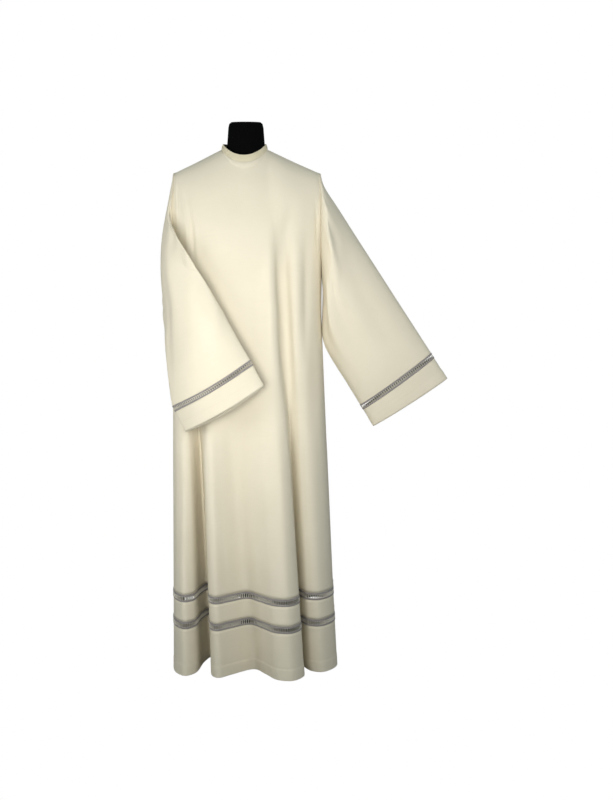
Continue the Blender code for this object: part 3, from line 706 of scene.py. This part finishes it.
# %% Creases of the sleeves
SLEEVE_CREASES = [
    # hand, deg_top, down_top, deg_end, down_end, bend_deg, width_deg, depth
    ("left", 112, 0.02, 100, 0.72, 5, 13, 0.0080),
    ("left", 182, 0.05, 182, 0.72, 0, 20, -0.0065),
    ("left", 70, 0.00, 62, 0.34, 0, 9, 0.0045),
    ("left", 100, 0.00, 96, 0.25, 0, 5, 0.0030),
    ("left", 128, 0.00, 124, 0.50, 0, 5, 0.0028),
    ("left", 146, 0.00, 146, 0.45, 0, 5, 0.0026),
    ("left", 44, 0.00, 40, 0.22, 0, 7, 0.0030),
    ("left", 86, 0.02, 82, 0.40, 3, 8, -0.0040),
    ("left", 140, 0.05, 132, 0.80, -3, 9, -0.0040),
    ("left", 152, 0.10, 150, 0.60, 2, 8, 0.0040),
    ("left", 60, 0.35, 66, 0.95, 4, 14, 0.0030),
    ("left", 240, 0.02, 255, 0.80, -6, 18, 0.0090),
    ("left", 285, 0.02, 292, 0.50, 2, 11, 0.0050),
    ("left", 215, 0.05, 222, 0.70, 4, 9, -0.0035),
    ("left", 320, 0.30, 300, 0.90, 5, 16, 0.0030),
    ("right", 70, 0.02, 30, 0.42, 4, 9, 0.0045),
    ("right", 50, 0.00, 12, 0.30, 3, 6, 0.0035),
    ("right", 60, 0.30, 70, 0.85, -5, 16, 0.0032),
    ("right", 110, 0.35, 118, 0.85, 5, 12, -0.0026),
    ("right", 28, 0.20, 38, 0.80, 4, 10, -0.0030),
    ("right", 20, 0.42, 26, 0.92, 2, 8, 0.0028),
    ("right", 200, 0.30, 230, 0.80, 6, 18, 0.0030),
]


def sleeve_push(hand, grid):
    """All the creases of one sleeve, placed by the angle round it from its outer fold."""
    degrees = sleeve_degrees(hand)[None, :]
    down = np.linspace(0, 1, grid.shape[0])[:, None]
    push = np.zeros(grid.shape[:2])
    for crease_hand, deg_top, down_top, deg_end, down_end, bend, width, depth in SLEEVE_CREASES:
        if crease_hand == hand:
            push += crease_push(degrees, down, (deg_top, down_top), (deg_end, down_end), bend, width, depth)
    return push


# %% [markdown]
# A sewn seam pulls the cloth in to a narrow groove. The hem and the cuffs are turned up inside, so there the
# cloth stands out by a little less than its own thickness, up to a line of stitches. Just below the neckband
# the front is pressed into a soft roll, widest in the middle.

# %% Seams, hems and the roll under the neckband
SEAM_DEPTH, SEAM_WIDTH = 0.0010, 0.0026
TURN_UP, TURN_UP_STEP = 0.0007, 0.0012  # how far a hem's doubled cloth stands out, and how gently it ends
STITCH_PULL, STITCH_PULL_WIDTH = 0.0006, 0.0016
CUFF_TURN_UP = 0.030
ROLL_TALL, ROLL_OUT, ROLL_HALF_WIDTH, ROLL_CURVE = 0.019, 0.0035, 0.056, 0.7
NECK_SEAM_X = 0.062  # the top edge is drawn in only outside this half width, where the neckband isn't sewn on


def seam_push(distance):
    """A groove next to a sewn edge: a bell curve of the distance from it."""
    return -SEAM_DEPTH * np.exp(-((distance / SEAM_WIDTH) ** 2))


def turn_up_push(distance, tall):
    """The doubled cloth of a turned-up edge: it stands out up to its line of stitches, which is drawn in."""
    past = distance - tall
    stands_out = TURN_UP / (1 + np.exp(past / TURN_UP_STEP))
    return stands_out - STITCH_PULL * np.exp(-((past / STITCH_PULL_WIDTH) ** 2))


def roll_push(grid):
    """The roll under the neckband: half a sine wave of the distance down from the neckline, over a crescent
    that fades to the sides."""
    down = lengths_along(grid, 0)
    down = down[-1] - down
    neckline_x, neckline_y = grid[-1, :, 0], grid[-1, :, 1]
    crescent = np.clip(1 - (neckline_x - NECK_X) ** 2 / ROLL_HALF_WIDTH**2, 0, 1) * (neckline_y < MIDDLE_Y)
    tall = ROLL_TALL * np.sqrt(crescent) + 1e-6
    return ROLL_OUT * np.sin(np.pi * np.clip(down / tall, 0, 1)) ** ROLL_CURVE * crescent**0.5


pushes = {}
for name, (grid, _) in grids.items():
    push = np.zeros(grid.shape[:2])
    from_first = lengths_along(grid, 0)
    from_last = from_first[-1] - from_first
    side = lengths_along(grid, 1)
    if name.endswith(("_panel", "_strip_hem", "_strip_middle")):
        push += body_push(name.split("_")[0], grid)
        push += seam_push(side) + seam_push(side[:, -1:] - side)
    if name.endswith("_panel"):
        push += seam_push(from_last) * (np.abs(grid[-1, :, 0] - NECK_X) > NECK_SEAM_X)
    if name == "front_panel":
        push += roll_push(grid)
    if name.endswith("_strip_hem"):
        push += turn_up_push(grid[..., 2] - HEM_Z, HEM_STITCH_Z - HEM_Z)
    if name.startswith("sleeve"):
        push += sleeve_push(name.split("_")[1], grid)
        push += seam_push(from_first)
    if name.startswith("cuff"):
        push += turn_up_push(from_last, CUFF_TURN_UP)
    pushes[name] = push
shaped = {name: grid + normals[name] * pushes[name][..., None] for name, (grid, _) in grids.items()}

# %% [markdown]
# The cloth is a light plain weave with a dull surface. Its threads are 0.7 mm apart, and some weft threads
# are thicker than others, which shows as faint level streaks. Both are bumps that follow the cloth's own
# measure: the UV map holds metres along the cut. A little sheen stands for the nap of the threads.

# %% Materials of the cloth
IVORY, IVORY_DEEP = (0.80, 0.745, 0.62), (0.755, 0.70, 0.575)
# The neckband's two tones are darker and warmer than the robe's: painted shade of the upright band.
BAND_SHADED_IVORY, BAND_SHADED_IVORY_DEEP = (0.76, 0.695, 0.53), (0.66, 0.595, 0.43)
THREAD_PITCH, BAND_THREAD_PITCH = 0.0007, 0.0014
SLUB_SCALE = (14.0, 700.0, 1.0)  # the noise is 50 times finer down the cut than across it
SLUB_TONE = 0.45  # how much of the change of colour follows the slubs


def new_material(name):
    """A material with its shader, and a short way to add and link nodes."""
    material = bpy.data.materials.new(name)
    material.use_nodes = True
    tree = material.node_tree
    shader = tree.nodes["Principled BSDF"]

    def add(kind, values=(), **inputs):
        node = tree.nodes.new("ShaderNode" + kind)
        for key, value in dict(values).items():
            setattr(node, key, value)
        for key, value in inputs.items():
            socket = node.inputs[int(key[1:])] if key[1:].isdigit() else node.inputs[key.replace("_", " ")]
            if isinstance(value, bpy.types.NodeSocket):
                tree.links.new(value, socket)
            else:
                socket.default_value = value
        return node

    return material, shader, add, tree


def wave_scale(pitch):
    """The Scale of a Wave texture whose bands are this far apart: its wave repeats every tau / 20 units."""
    return math.tau / 20 / pitch


def set_shader(shader, **values):
    """Set the shader's own sockets; an underscore in a name stands for a space."""
    for key, value in values.items():
        shader.inputs[key.replace("_", " ")].default_value = value


def cloth_material(name, light, deep, pitch, weave_height, slub_height, sheen):
    """Woven cloth. The weave's height is one wave along the warp times one along the weft; the slubs are
    noise drawn out along the weft; the colour drifts between two close tones."""
    material, shader, add, tree = new_material(name)
    uv = add("UVMap", {"uv_map": "cut"}).outputs[0]
    scale = wave_scale(pitch)
    warp, weft = (add("TexWave", {"bands_direction": way}, Vector=uv, Scale=scale, Distortion=0.6)
                  for way in "XY")
    weave = add("Math", {"operation": "MULTIPLY"}, i0=warp.outputs["Fac"], i1=weft.outputs["Fac"])
    drawn = add("Mapping", Vector=uv, Scale=SLUB_SCALE)
    slub = add("TexNoise", Vector=drawn.outputs[0], Scale=1.0, Detail=2.0)
    place = add("TexCoord").outputs["Object"]
    cloud = add("TexNoise", Vector=place, Scale=7.0, Detail=3.0)
    tone = add("Math", {"operation": "MULTIPLY_ADD"}, i0=slub.outputs["Fac"], i1=SLUB_TONE,
               i2=cloud.outputs["Fac"])
    ramp = add("ValToRGB", Fac=tone.outputs[0])
    ramp.color_ramp.elements[0].position, ramp.color_ramp.elements[1].position = 0.45, 1.0
    ramp.color_ramp.elements[0].color, ramp.color_ramp.elements[1].color = (*light, 1), (*deep, 1)
    tree.links.new(ramp.outputs["Color"], shader.inputs["Base Color"])
    fine = add("Bump", Strength=0.6, Distance=weave_height, Height=weave.outputs[0])
    coarse = add("Bump", Strength=0.6, Distance=slub_height, Height=slub.outputs["Fac"],
                 Normal=fine.outputs[0])
    tree.links.new(coarse.outputs[0], shader.inputs["Normal"])
    set_shader(shader, Roughness=0.82, Specular_IOR_Level=0.22, Sheen_Weight=sheen, Sheen_Roughness=0.55,
               Sheen_Tint=(1.0, 0.96, 0.86, 1))
    return material


robe_cloth = cloth_material("robe_cloth", IVORY, IVORY_DEEP, THREAD_PITCH, 0.00012, 0.00010, 0.18)
# The neckband's cloth carries painted shade: its tones are darker than the robe's.
band_cloth = cloth_material("band_cloth", BAND_SHADED_IVORY, BAND_SHADED_IVORY_DEEP, BAND_THREAD_PITCH, 0.0004, 0.00015,
                            0.15)

# %% Make a sheet from its grid
CLOTH_THICK = 0.0011
SHARP_DEG = 60  # on thread and on the form, edges that turn by more than this stay sharp


def add_piece(name, points, faces, materials, sharp_deg=None):
    """A smooth mesh object that rides on the one body. Edges that turn by more than sharp_deg stay sharp."""
    mesh = bpy.data.meshes.new(name)
    mesh.from_pydata(points.reshape(-1, 3).tolist(), [], faces)
    mesh.shade_smooth()
    if sharp_deg is not None:
        mesh.set_sharp_from_angle(angle=math.radians(sharp_deg))
    for material in materials:
        mesh.materials.append(material)
    piece = bpy.data.objects.new(name, mesh)
    bpy.context.scene.collection.objects.link(piece)
    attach(piece, "root")
    return piece


def grid_faces(rows, columns, closed):
    """Quads of a grid; a closed grid's last column is its first one again."""
    index = np.arange(rows * columns).reshape(rows, columns)
    if closed:
        index = np.hstack([index, index[:, :1]])
    return np.stack([index[:-1, :-1], index[:-1, 1:], index[1:, 1:], index[1:, :-1]], -1).reshape(-1, 4)


def add_sheet(name, grid, closed, material, thick):
    """A sheet with its UV map in metres along the cut, given its thickness on the inside."""
    u = np.broadcast_to(lengths_along(grid, 1)[len(grid) // 2], grid.shape[:2])
    v = np.broadcast_to(lengths_along(grid, 0).mean(axis=1)[:, None], grid.shape[:2])
    corners = grid_faces(*grid.shape[:2], False)
    uv = np.stack([u, v], -1).reshape(-1, 2)[corners]
    points = grid[:, :-1] if closed else grid
    faces = grid_faces(*points.shape[:2], closed).tolist()
    piece = add_piece(name, points, faces, [material])
    piece.data.uv_layers.new(name="cut").data.foreach_set("uv", uv.astype(np.float32).ravel())
    wall = piece.modifiers.new("thickness", "SOLIDIFY")
    wall.thickness, wall.offset = thick, -1
    return piece


for name, (grid, closed) in grids.items():
    if name.startswith("openwork"):
        continue
    add_sheet(f"{name}_cloth", shaped[name], closed, robe_cloth, CLOTH_THICK)
    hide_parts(name)

# %% [markdown]
# The openwork is a ladder. Threads are drawn out of the weave and the rest are bound into bars, between an
# upper and a lower edge that are whipped over with thread. The edges' thread is painted dark grey, which is
# painted shade: it stands for the shadowed inside of the band. The holes are real, so the dark inside of the
# robe shows through them. Each edge is a corded profile carried along the band. Each bar is a thin prism,
# narrow in the middle, and all the bars are worked out at once as arrays.

# %% Openwork sizes
BAR_PITCH = 0.0066
BAR_HALF_WIDTHS = np.array([2.0, 1.7, 1.55, 1.7, 2.0]) * 0.001
BAR_HALF_THICK = np.full(5, 0.0009)
BAR_SIDES = 6
LOWER_EDGE, UPPER_EDGE = (0.0, 0.26), (0.71, 1.0)  # parts of the band's height
BAR_OVERLAP = 0.05  # how far a bar runs into each edge, as a part of the band's height
EDGE_CORDS = 2
EDGE_THICK = 0.0013


def prism_faces(count, rings, sides):
    """Faces of many closed prisms: their sides, and a cap at each end."""
    ring = np.arange(sides)
    base = np.arange(count)[:, None, None] * rings * sides + np.arange(rings - 1)[None, :, None] * sides
    low, after = base + ring, base + (ring + 1) % sides
    walls = np.stack([low, after, after + sides, low + sides], -1).reshape(-1, 4)
    starts = np.arange(count)[:, None] * rings * sides
    caps = np.concatenate([starts + ring[::-1], starts + (rings - 1) * sides + ring])
    return walls.tolist() + caps.tolist()


def along_curve(points, at):
    """Points of a row of the cloth at given distances along it."""
    length = np.concatenate([[0], np.cumsum(np.linalg.norm(np.diff(points, axis=0), axis=1))])
    return np.stack([np.interp(at * length[-1], length, points[:, axis]) for axis in range(3)], -1)


def prisms(core, sideways, outward, half_wide, half_thick):
    """Many closed prisms at once. A point is its core's point, plus the cosine of its angle times the half
    width sideways, plus the sine times the half thickness outwards."""
    angle = 2 * np.pi * np.arange(BAR_SIDES) / BAR_SIDES
    wide = np.cos(angle) * half_wide[:, None]
    thick = np.sin(angle) * half_thick[:, None]
    points = (core[:, :, None] - sideways[:, None, None] * wide[None, :, :, None]
              + outward[:, None, None] * thick[None, :, :, None])
    return points.reshape(-1, 3), prism_faces(*core.shape[:2], BAR_SIDES)


def ladder_bars(low, high, out, count):
    """Bars across a band, evenly spaced, from inside its lower edge to inside its upper one."""
    at = (np.arange(count) + 0.5) / count
    foot, head, outward = (along_curve(row, at) for row in (low, high, out))
    outward = unit(outward)
    heights = np.linspace(LOWER_EDGE[1] - BAR_OVERLAP, UPPER_EDGE[0] + BAR_OVERLAP, len(BAR_HALF_WIDTHS))
    core = foot[:, None] + (head - foot)[:, None] * heights[None, :, None]
    return prisms(core, unit(np.cross(outward, head - foot)), outward, BAR_HALF_WIDTHS, BAR_HALF_THICK)


def corded_edge(low, high, out, span, closed):
    """One whipped edge: a closed profile carried along the band. Its outside is a row of half rounds, one
    for each cord, and its inside is flat."""
    across = np.linspace(0, 1, 4 * EDGE_CORDS + 1)
    raised = EDGE_THICK * (0.45 + 0.55 * np.abs(np.sin(np.pi * EDGE_CORDS * across)))
    profile_v = np.concatenate([across, across[::-1]])
    profile_n = np.concatenate([raised, np.full(len(across), -EDGE_THICK / 2)])
    v = span[0] + (span[1] - span[0]) * profile_v
    points = (low[None] + (high - low)[None] * v[:, None, None] + out[None] * profile_n[:, None, None])
    points = np.swapaxes(points, 0, 1)
    if closed:
        points = points[:-1]
    columns, around = points.shape[:2]
    index = np.arange(columns * around).reshape(columns, around)
    index = np.hstack([index, index[:, :1]])
    if closed:
        index = np.vstack([index, index[:1]])
    faces = np.stack([index[:-1, :-1], index[1:, :-1], index[1:, 1:], index[:-1, 1:]], -1).reshape(-1, 4)
    faces = faces.tolist()
    if not closed:
        faces += [index[0, :-1].tolist(), index[-1, :-1][::-1].tolist()]
    return points.reshape(-1, 3), faces


# %% Thread materials


def thread_material(name, light, deep, wraps):
    """Twisted thread: bands slanted round it, as a bump and as a slight change of tone."""
    material, shader, add, tree = new_material(name)
    place = add("TexCoord").outputs["Object"]
    turned = add("Mapping", Vector=place, Rotation=(0.3, 0.2, 0.7))
    twist = add("TexWave", {"bands_direction": "X"}, Vector=turned.outputs[0],
                Scale=wave_scale(wraps), Distortion=1.5, Detail=1.0)
    ramp = add("ValToRGB", Fac=twist.outputs["Fac"])
    ramp.color_ramp.elements[0].color, ramp.color_ramp.elements[1].color = (*deep, 1), (*light, 1)
    tree.links.new(ramp.outputs["Color"], shader.inputs["Base Color"])
    bump = add("Bump", Strength=0.7, Distance=0.0003, Height=twist.outputs["Fac"])
    tree.links.new(bump.outputs[0], shader.inputs["Normal"])
    set_shader(shader, Roughness=0.7, Specular_IOR_Level=0.3, Sheen_Weight=0.15)
    return material


# The edges' dark grey is painted shade of the band's shadowed inside; the bars keep a pale thread.
shaded_edge_thread = thread_material("shaded_edge_thread", (0.40, 0.375, 0.37), (0.21, 0.195, 0.195), 0.0011)
pale_thread = thread_material("pale_thread", (0.78, 0.74, 0.66), (0.62, 0.58, 0.52), 0.0009)
seam_thread = thread_material("seam_thread", (0.74, 0.67, 0.52), (0.60, 0.54, 0.40), 0.0008)

# %% Make the openwork bands


def add_openwork(name, grid, out, closed):
    """One band: its two whipped edges, with its bars as a second material of the same piece."""
    low, high = grid[0], grid[-1]
    length = np.linalg.norm(np.diff((low + high) / 2, axis=0), axis=1).sum()
    count = round(length / BAR_PITCH)
    parts = [corded_edge(low, high, out, span, closed) for span in (LOWER_EDGE, UPPER_EDGE)]
    parts.append(ladder_bars(low, high, out, count))
    faces, start = [], 0
    for part_points, part_faces in parts:
        faces += [[corner + start for corner in face] for face in part_faces]
        start += len(part_points)
    points = np.vstack([part_points for part_points, _ in parts])
    piece = add_piece(name, points, faces, [shaded_edge_thread, pale_thread], SHARP_DEG)
    slots = np.ones(len(faces), np.int32)
    slots[:-len(parts[-1][1])] = 0
    piece.data.polygons.foreach_set("material_index", slots)
    print(name, "bars:", count)
    return piece


openworks = {}
for name, (_, closed) in grids.items():
    if name.startswith("openwork"):
        out = unit(normals[name][0] + normals[name][-1])
        openworks[name] = add_openwork(f"{name}_ladder", shaped[name], out, closed)
        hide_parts(name)

# %% [markdown]
# The neckband stands up round the neck. It is two layers of cloth with a firm layer between them, so its
# weave shows more strongly, and its top edge is a thin rolled rim.

# %% Neckband
BAND_THICK = 0.0022
BAND_BOW, RIM_OUT, RIM_TALL = 0.0012, 0.0008, 0.07  # the rim's height is a part of the band's
band_turn = np.linspace(90, 450, 289)
band_rise = np.array([0.0, 0.05, 0.12, 0.25, 0.4, 0.55, 0.7, 0.82, 0.9, 0.95, 1.0])
band_low, band_high = neck_ring(NECKLINE, band_turn), neck_ring(NECKBAND_TOP, band_turn)
band_grid = band_low[None] + (band_high - band_low)[None] * band_rise[:, None, None]
band_out = point_normals(band_grid, True)
band_push = BAND_BOW * np.sin(np.pi * band_rise) + RIM_OUT * np.exp(-(((band_rise - 1) / RIM_TALL) ** 2))
band_grid = band_grid + band_out * band_push[:, None, None]
neckband = add_sheet("neckband_cloth", band_grid, True, band_cloth, BAND_THICK)
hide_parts("neckband")

# %% [markdown]
# Stitches hold the turned-up hem and cuffs. Each stitch is a tiny six-sided bead of thread lying along the
# seam, and a whole line of them is one mesh.

# %% Lines of stitches
STITCH_LONG, STITCH_PITCH = 0.0020, 0.0032
STITCH_PARTS = np.array([-0.5, -0.35, 0.0, 0.35, 0.5])  # rings of a bead, as parts of its length
STITCH_RADII = 0.00028 * np.array([0.35, 0.85, 1.0, 0.85, 0.35])


def stitch_line(name, points, out):
    """A line of stitches along a row of points: each is a bead, thickest in the middle."""
    length = np.linalg.norm(np.diff(points, axis=0), axis=1).sum()
    count = int(length / STITCH_PITCH)
    at = (np.arange(count) + 0.5) / count
    middle, outward = along_curve(points, at), unit(along_curve(out, at))
    ahead = unit(along_curve(points, np.clip(at + 0.0005, 0, 1)) - along_curve(points, at - 0.0005))
    core = middle[:, None] + ahead[:, None] * (STITCH_PARTS * STITCH_LONG)[None, :, None]
    beads, faces = prisms(core, unit(np.cross(outward, ahead)), outward, STITCH_RADII, STITCH_RADII)
    piece = add_piece(name, beads, faces, [seam_thread])
    print(name, "stitches:", count)
    return piece


hem_row = int(np.searchsorted(hem_heights, HEM_STITCH_Z))
stitches = {}
for half in HALVES:
    piece_name = f"{half}_strip_hem"
    stitches[piece_name] = stitch_line(f"{half}_hem_stitches", shaped[piece_name][hem_row],
                                       normals[piece_name][hem_row])
for hand in SLEEVES:
    piece_name = f"cuff_{hand}"
    from_edge = lengths_along(shaped[piece_name], 0)
    row = int(np.argmin(np.abs((from_edge[-1] - from_edge).mean(axis=1) - CUFF_TURN_UP)))
    stitches[piece_name] = stitch_line(f"{hand}_cuff_stitches", shaped[piece_name][row],
                                       normals[piece_name][row])

# %% [markdown]
# The form under the robe is firm foam covered in black jersey, and only its neck shows. It is a stack of
# ellipses joined by straight runs. The pole and the foot plate keep their solids, and only get their paint
# here.

# %% The form
FORM_RINGS = np.array([
    # z, half_width, half_depth, middle_y
    (0.740, 0.146, 0.088, -0.030),
    (0.752, 0.150, 0.092, -0.030),
    (0.840, 0.148, 0.094, -0.030),
    (0.960, 0.142, 0.092, -0.030),
    (1.080, 0.152, 0.102, -0.030),
    (1.180, 0.162, 0.104, -0.030),
    (1.270, 0.166, 0.094, -0.030),
    (1.335, 0.158, 0.074, -0.030),
    (1.372, 0.128, 0.058, -0.030),
    (1.400, 0.084, 0.051, -0.030),
    (1.425, 0.0555, 0.0495, -0.031),
    (1.452, 0.0515, 0.0490, -0.031),
    (1.500, 0.0480, 0.0470, -0.031),
    (1.5105, 0.0455, 0.0450, -0.031),
    (1.5150, 0.0400, 0.0395, -0.031),
])
FORM_SIDES, FORM_STEPS = 96, 5
RIB_PITCH = 0.0012


def form_surface():
    """The form's rings, with the straight runs between them divided evenly, and each ring an ellipse."""
    knots = np.arange(len(FORM_RINGS))
    at = np.linspace(0, len(FORM_RINGS) - 1, (len(FORM_RINGS) - 1) * FORM_STEPS + 1)
    z, half_width, half_depth, middle_y = (np.interp(at, knots, column)[:, None] for column in FORM_RINGS.T)
    angle = 2 * np.pi * np.arange(FORM_SIDES) / FORM_SIDES
    x = half_width * np.cos(angle)
    y = middle_y + half_depth * np.sin(angle)
    return np.stack([x, y, np.broadcast_to(z, x.shape)], -1)


def jersey_material():
    """Black knitted jersey: fine upright ribs as a bump, and hardly any shine."""
    material, shader, add, tree = new_material("black_jersey")
    place = add("TexCoord").outputs["Object"]
    ribs = add("TexWave", {"bands_direction": "X"}, Vector=place, Scale=wave_scale(RIB_PITCH))
    grain = add("TexNoise", Vector=place, Scale=900.0)
    height = add("Math", {"operation": "ADD"}, i0=ribs.outputs["Fac"], i1=grain.outputs["Fac"])
    bump = add("Bump", Strength=0.5, Distance=0.0002, Height=height.outputs[0])
    tree.links.new(bump.outputs[0], shader.inputs["Normal"])
    set_shader(shader, Base_Color=(0.002, 0.002, 0.0024, 1), Roughness=0.95, Specular_IOR_Level=0.05)
    return material


form_points = form_surface()
form_faces = grid_faces(*form_points.shape[:2], True).tolist()
last_ring = (form_points.shape[0] - 1) * FORM_SIDES
form_faces += [list(range(FORM_SIDES))[::-1], list(range(last_ring, last_ring + FORM_SIDES))]
form_cover = add_piece("form_cover", form_points, form_faces, [jersey_material()], SHARP_DEG)
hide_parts("form_torso")

# %% Paint of the pole and foot plate
paint, paint_shader, add_node, paint_tree = new_material("black_paint")
orange_peel = add_node("TexNoise", Vector=add_node("TexCoord").outputs["Object"], Scale=600.0)
peel_bump = add_node("Bump", Strength=0.2, Distance=0.0002, Height=orange_peel.outputs["Fac"])
paint_tree.links.new(peel_bump.outputs[0], paint_shader.inputs["Normal"])
set_shader(paint_shader, Base_Color=(0.018, 0.018, 0.02, 1), Roughness=0.42)
for node_name in ("form_pole", "form_base"):
    node = frame["nodes"][node_name]
    node.data.materials.clear()
    node.data.materials.append(paint)

# %% [markdown]
# Last, the flat size that each sheet was cut to is listed and printed, with the count of its trims. All
# round the robe the cut is wider at the hem than at the chest, which is where the folds come from. The width
# goes round the body or the arm, and the length goes along it. The turned-up hem and cuffs are left out. No
# pattern of this robe was at hand, so the sizes are measured along the finished cloth, and rounded.

# %% Say what each sheet was cut to
CUTS = {
    # sheet: (width, length, area), in metres and square metres
    "front_panel": (1.20, 1.25, 0.82),
    "back_panel": (1.23, 1.25, 0.77),
    "front_strip_middle": (1.14, 0.054, 0.061),
    "back_strip_middle": (1.00, 0.054, 0.053),
    "front_strip_hem": (1.27, 0.130, 0.157),
    "back_strip_hem": (1.11, 0.130, 0.138),
    "sleeve_left": (0.75, 0.58, 0.242),
    "sleeve_right": (0.70, 0.65, 0.224),
    "cuff_left": (0.53, 0.068, 0.032),
    "cuff_right": (0.54, 0.062, 0.033),
    "neckband": (0.415, 0.021, 0.007),
}
TRIMS = {
    "front_panel": ["openwork_upper_front"],
    "back_panel": ["openwork_upper_back"],
    "front_strip_hem": ["openwork_lower_front"],
    "back_strip_hem": ["openwork_lower_back"],
    "sleeve_left": ["openwork_sleeve_left"],
    "sleeve_right": ["openwork_sleeve_right"],
}

for name, (width, length, area) in CUTS.items():
    trims = [openworks[trim] for trim in TRIMS.get(name, [])]
    if name in stitches:
        trims.append(stitches[name])
    print(f"{name}: {width:.3f} x {length:.3f} m, {area:.3f} m2, trims: {len(trims)}")
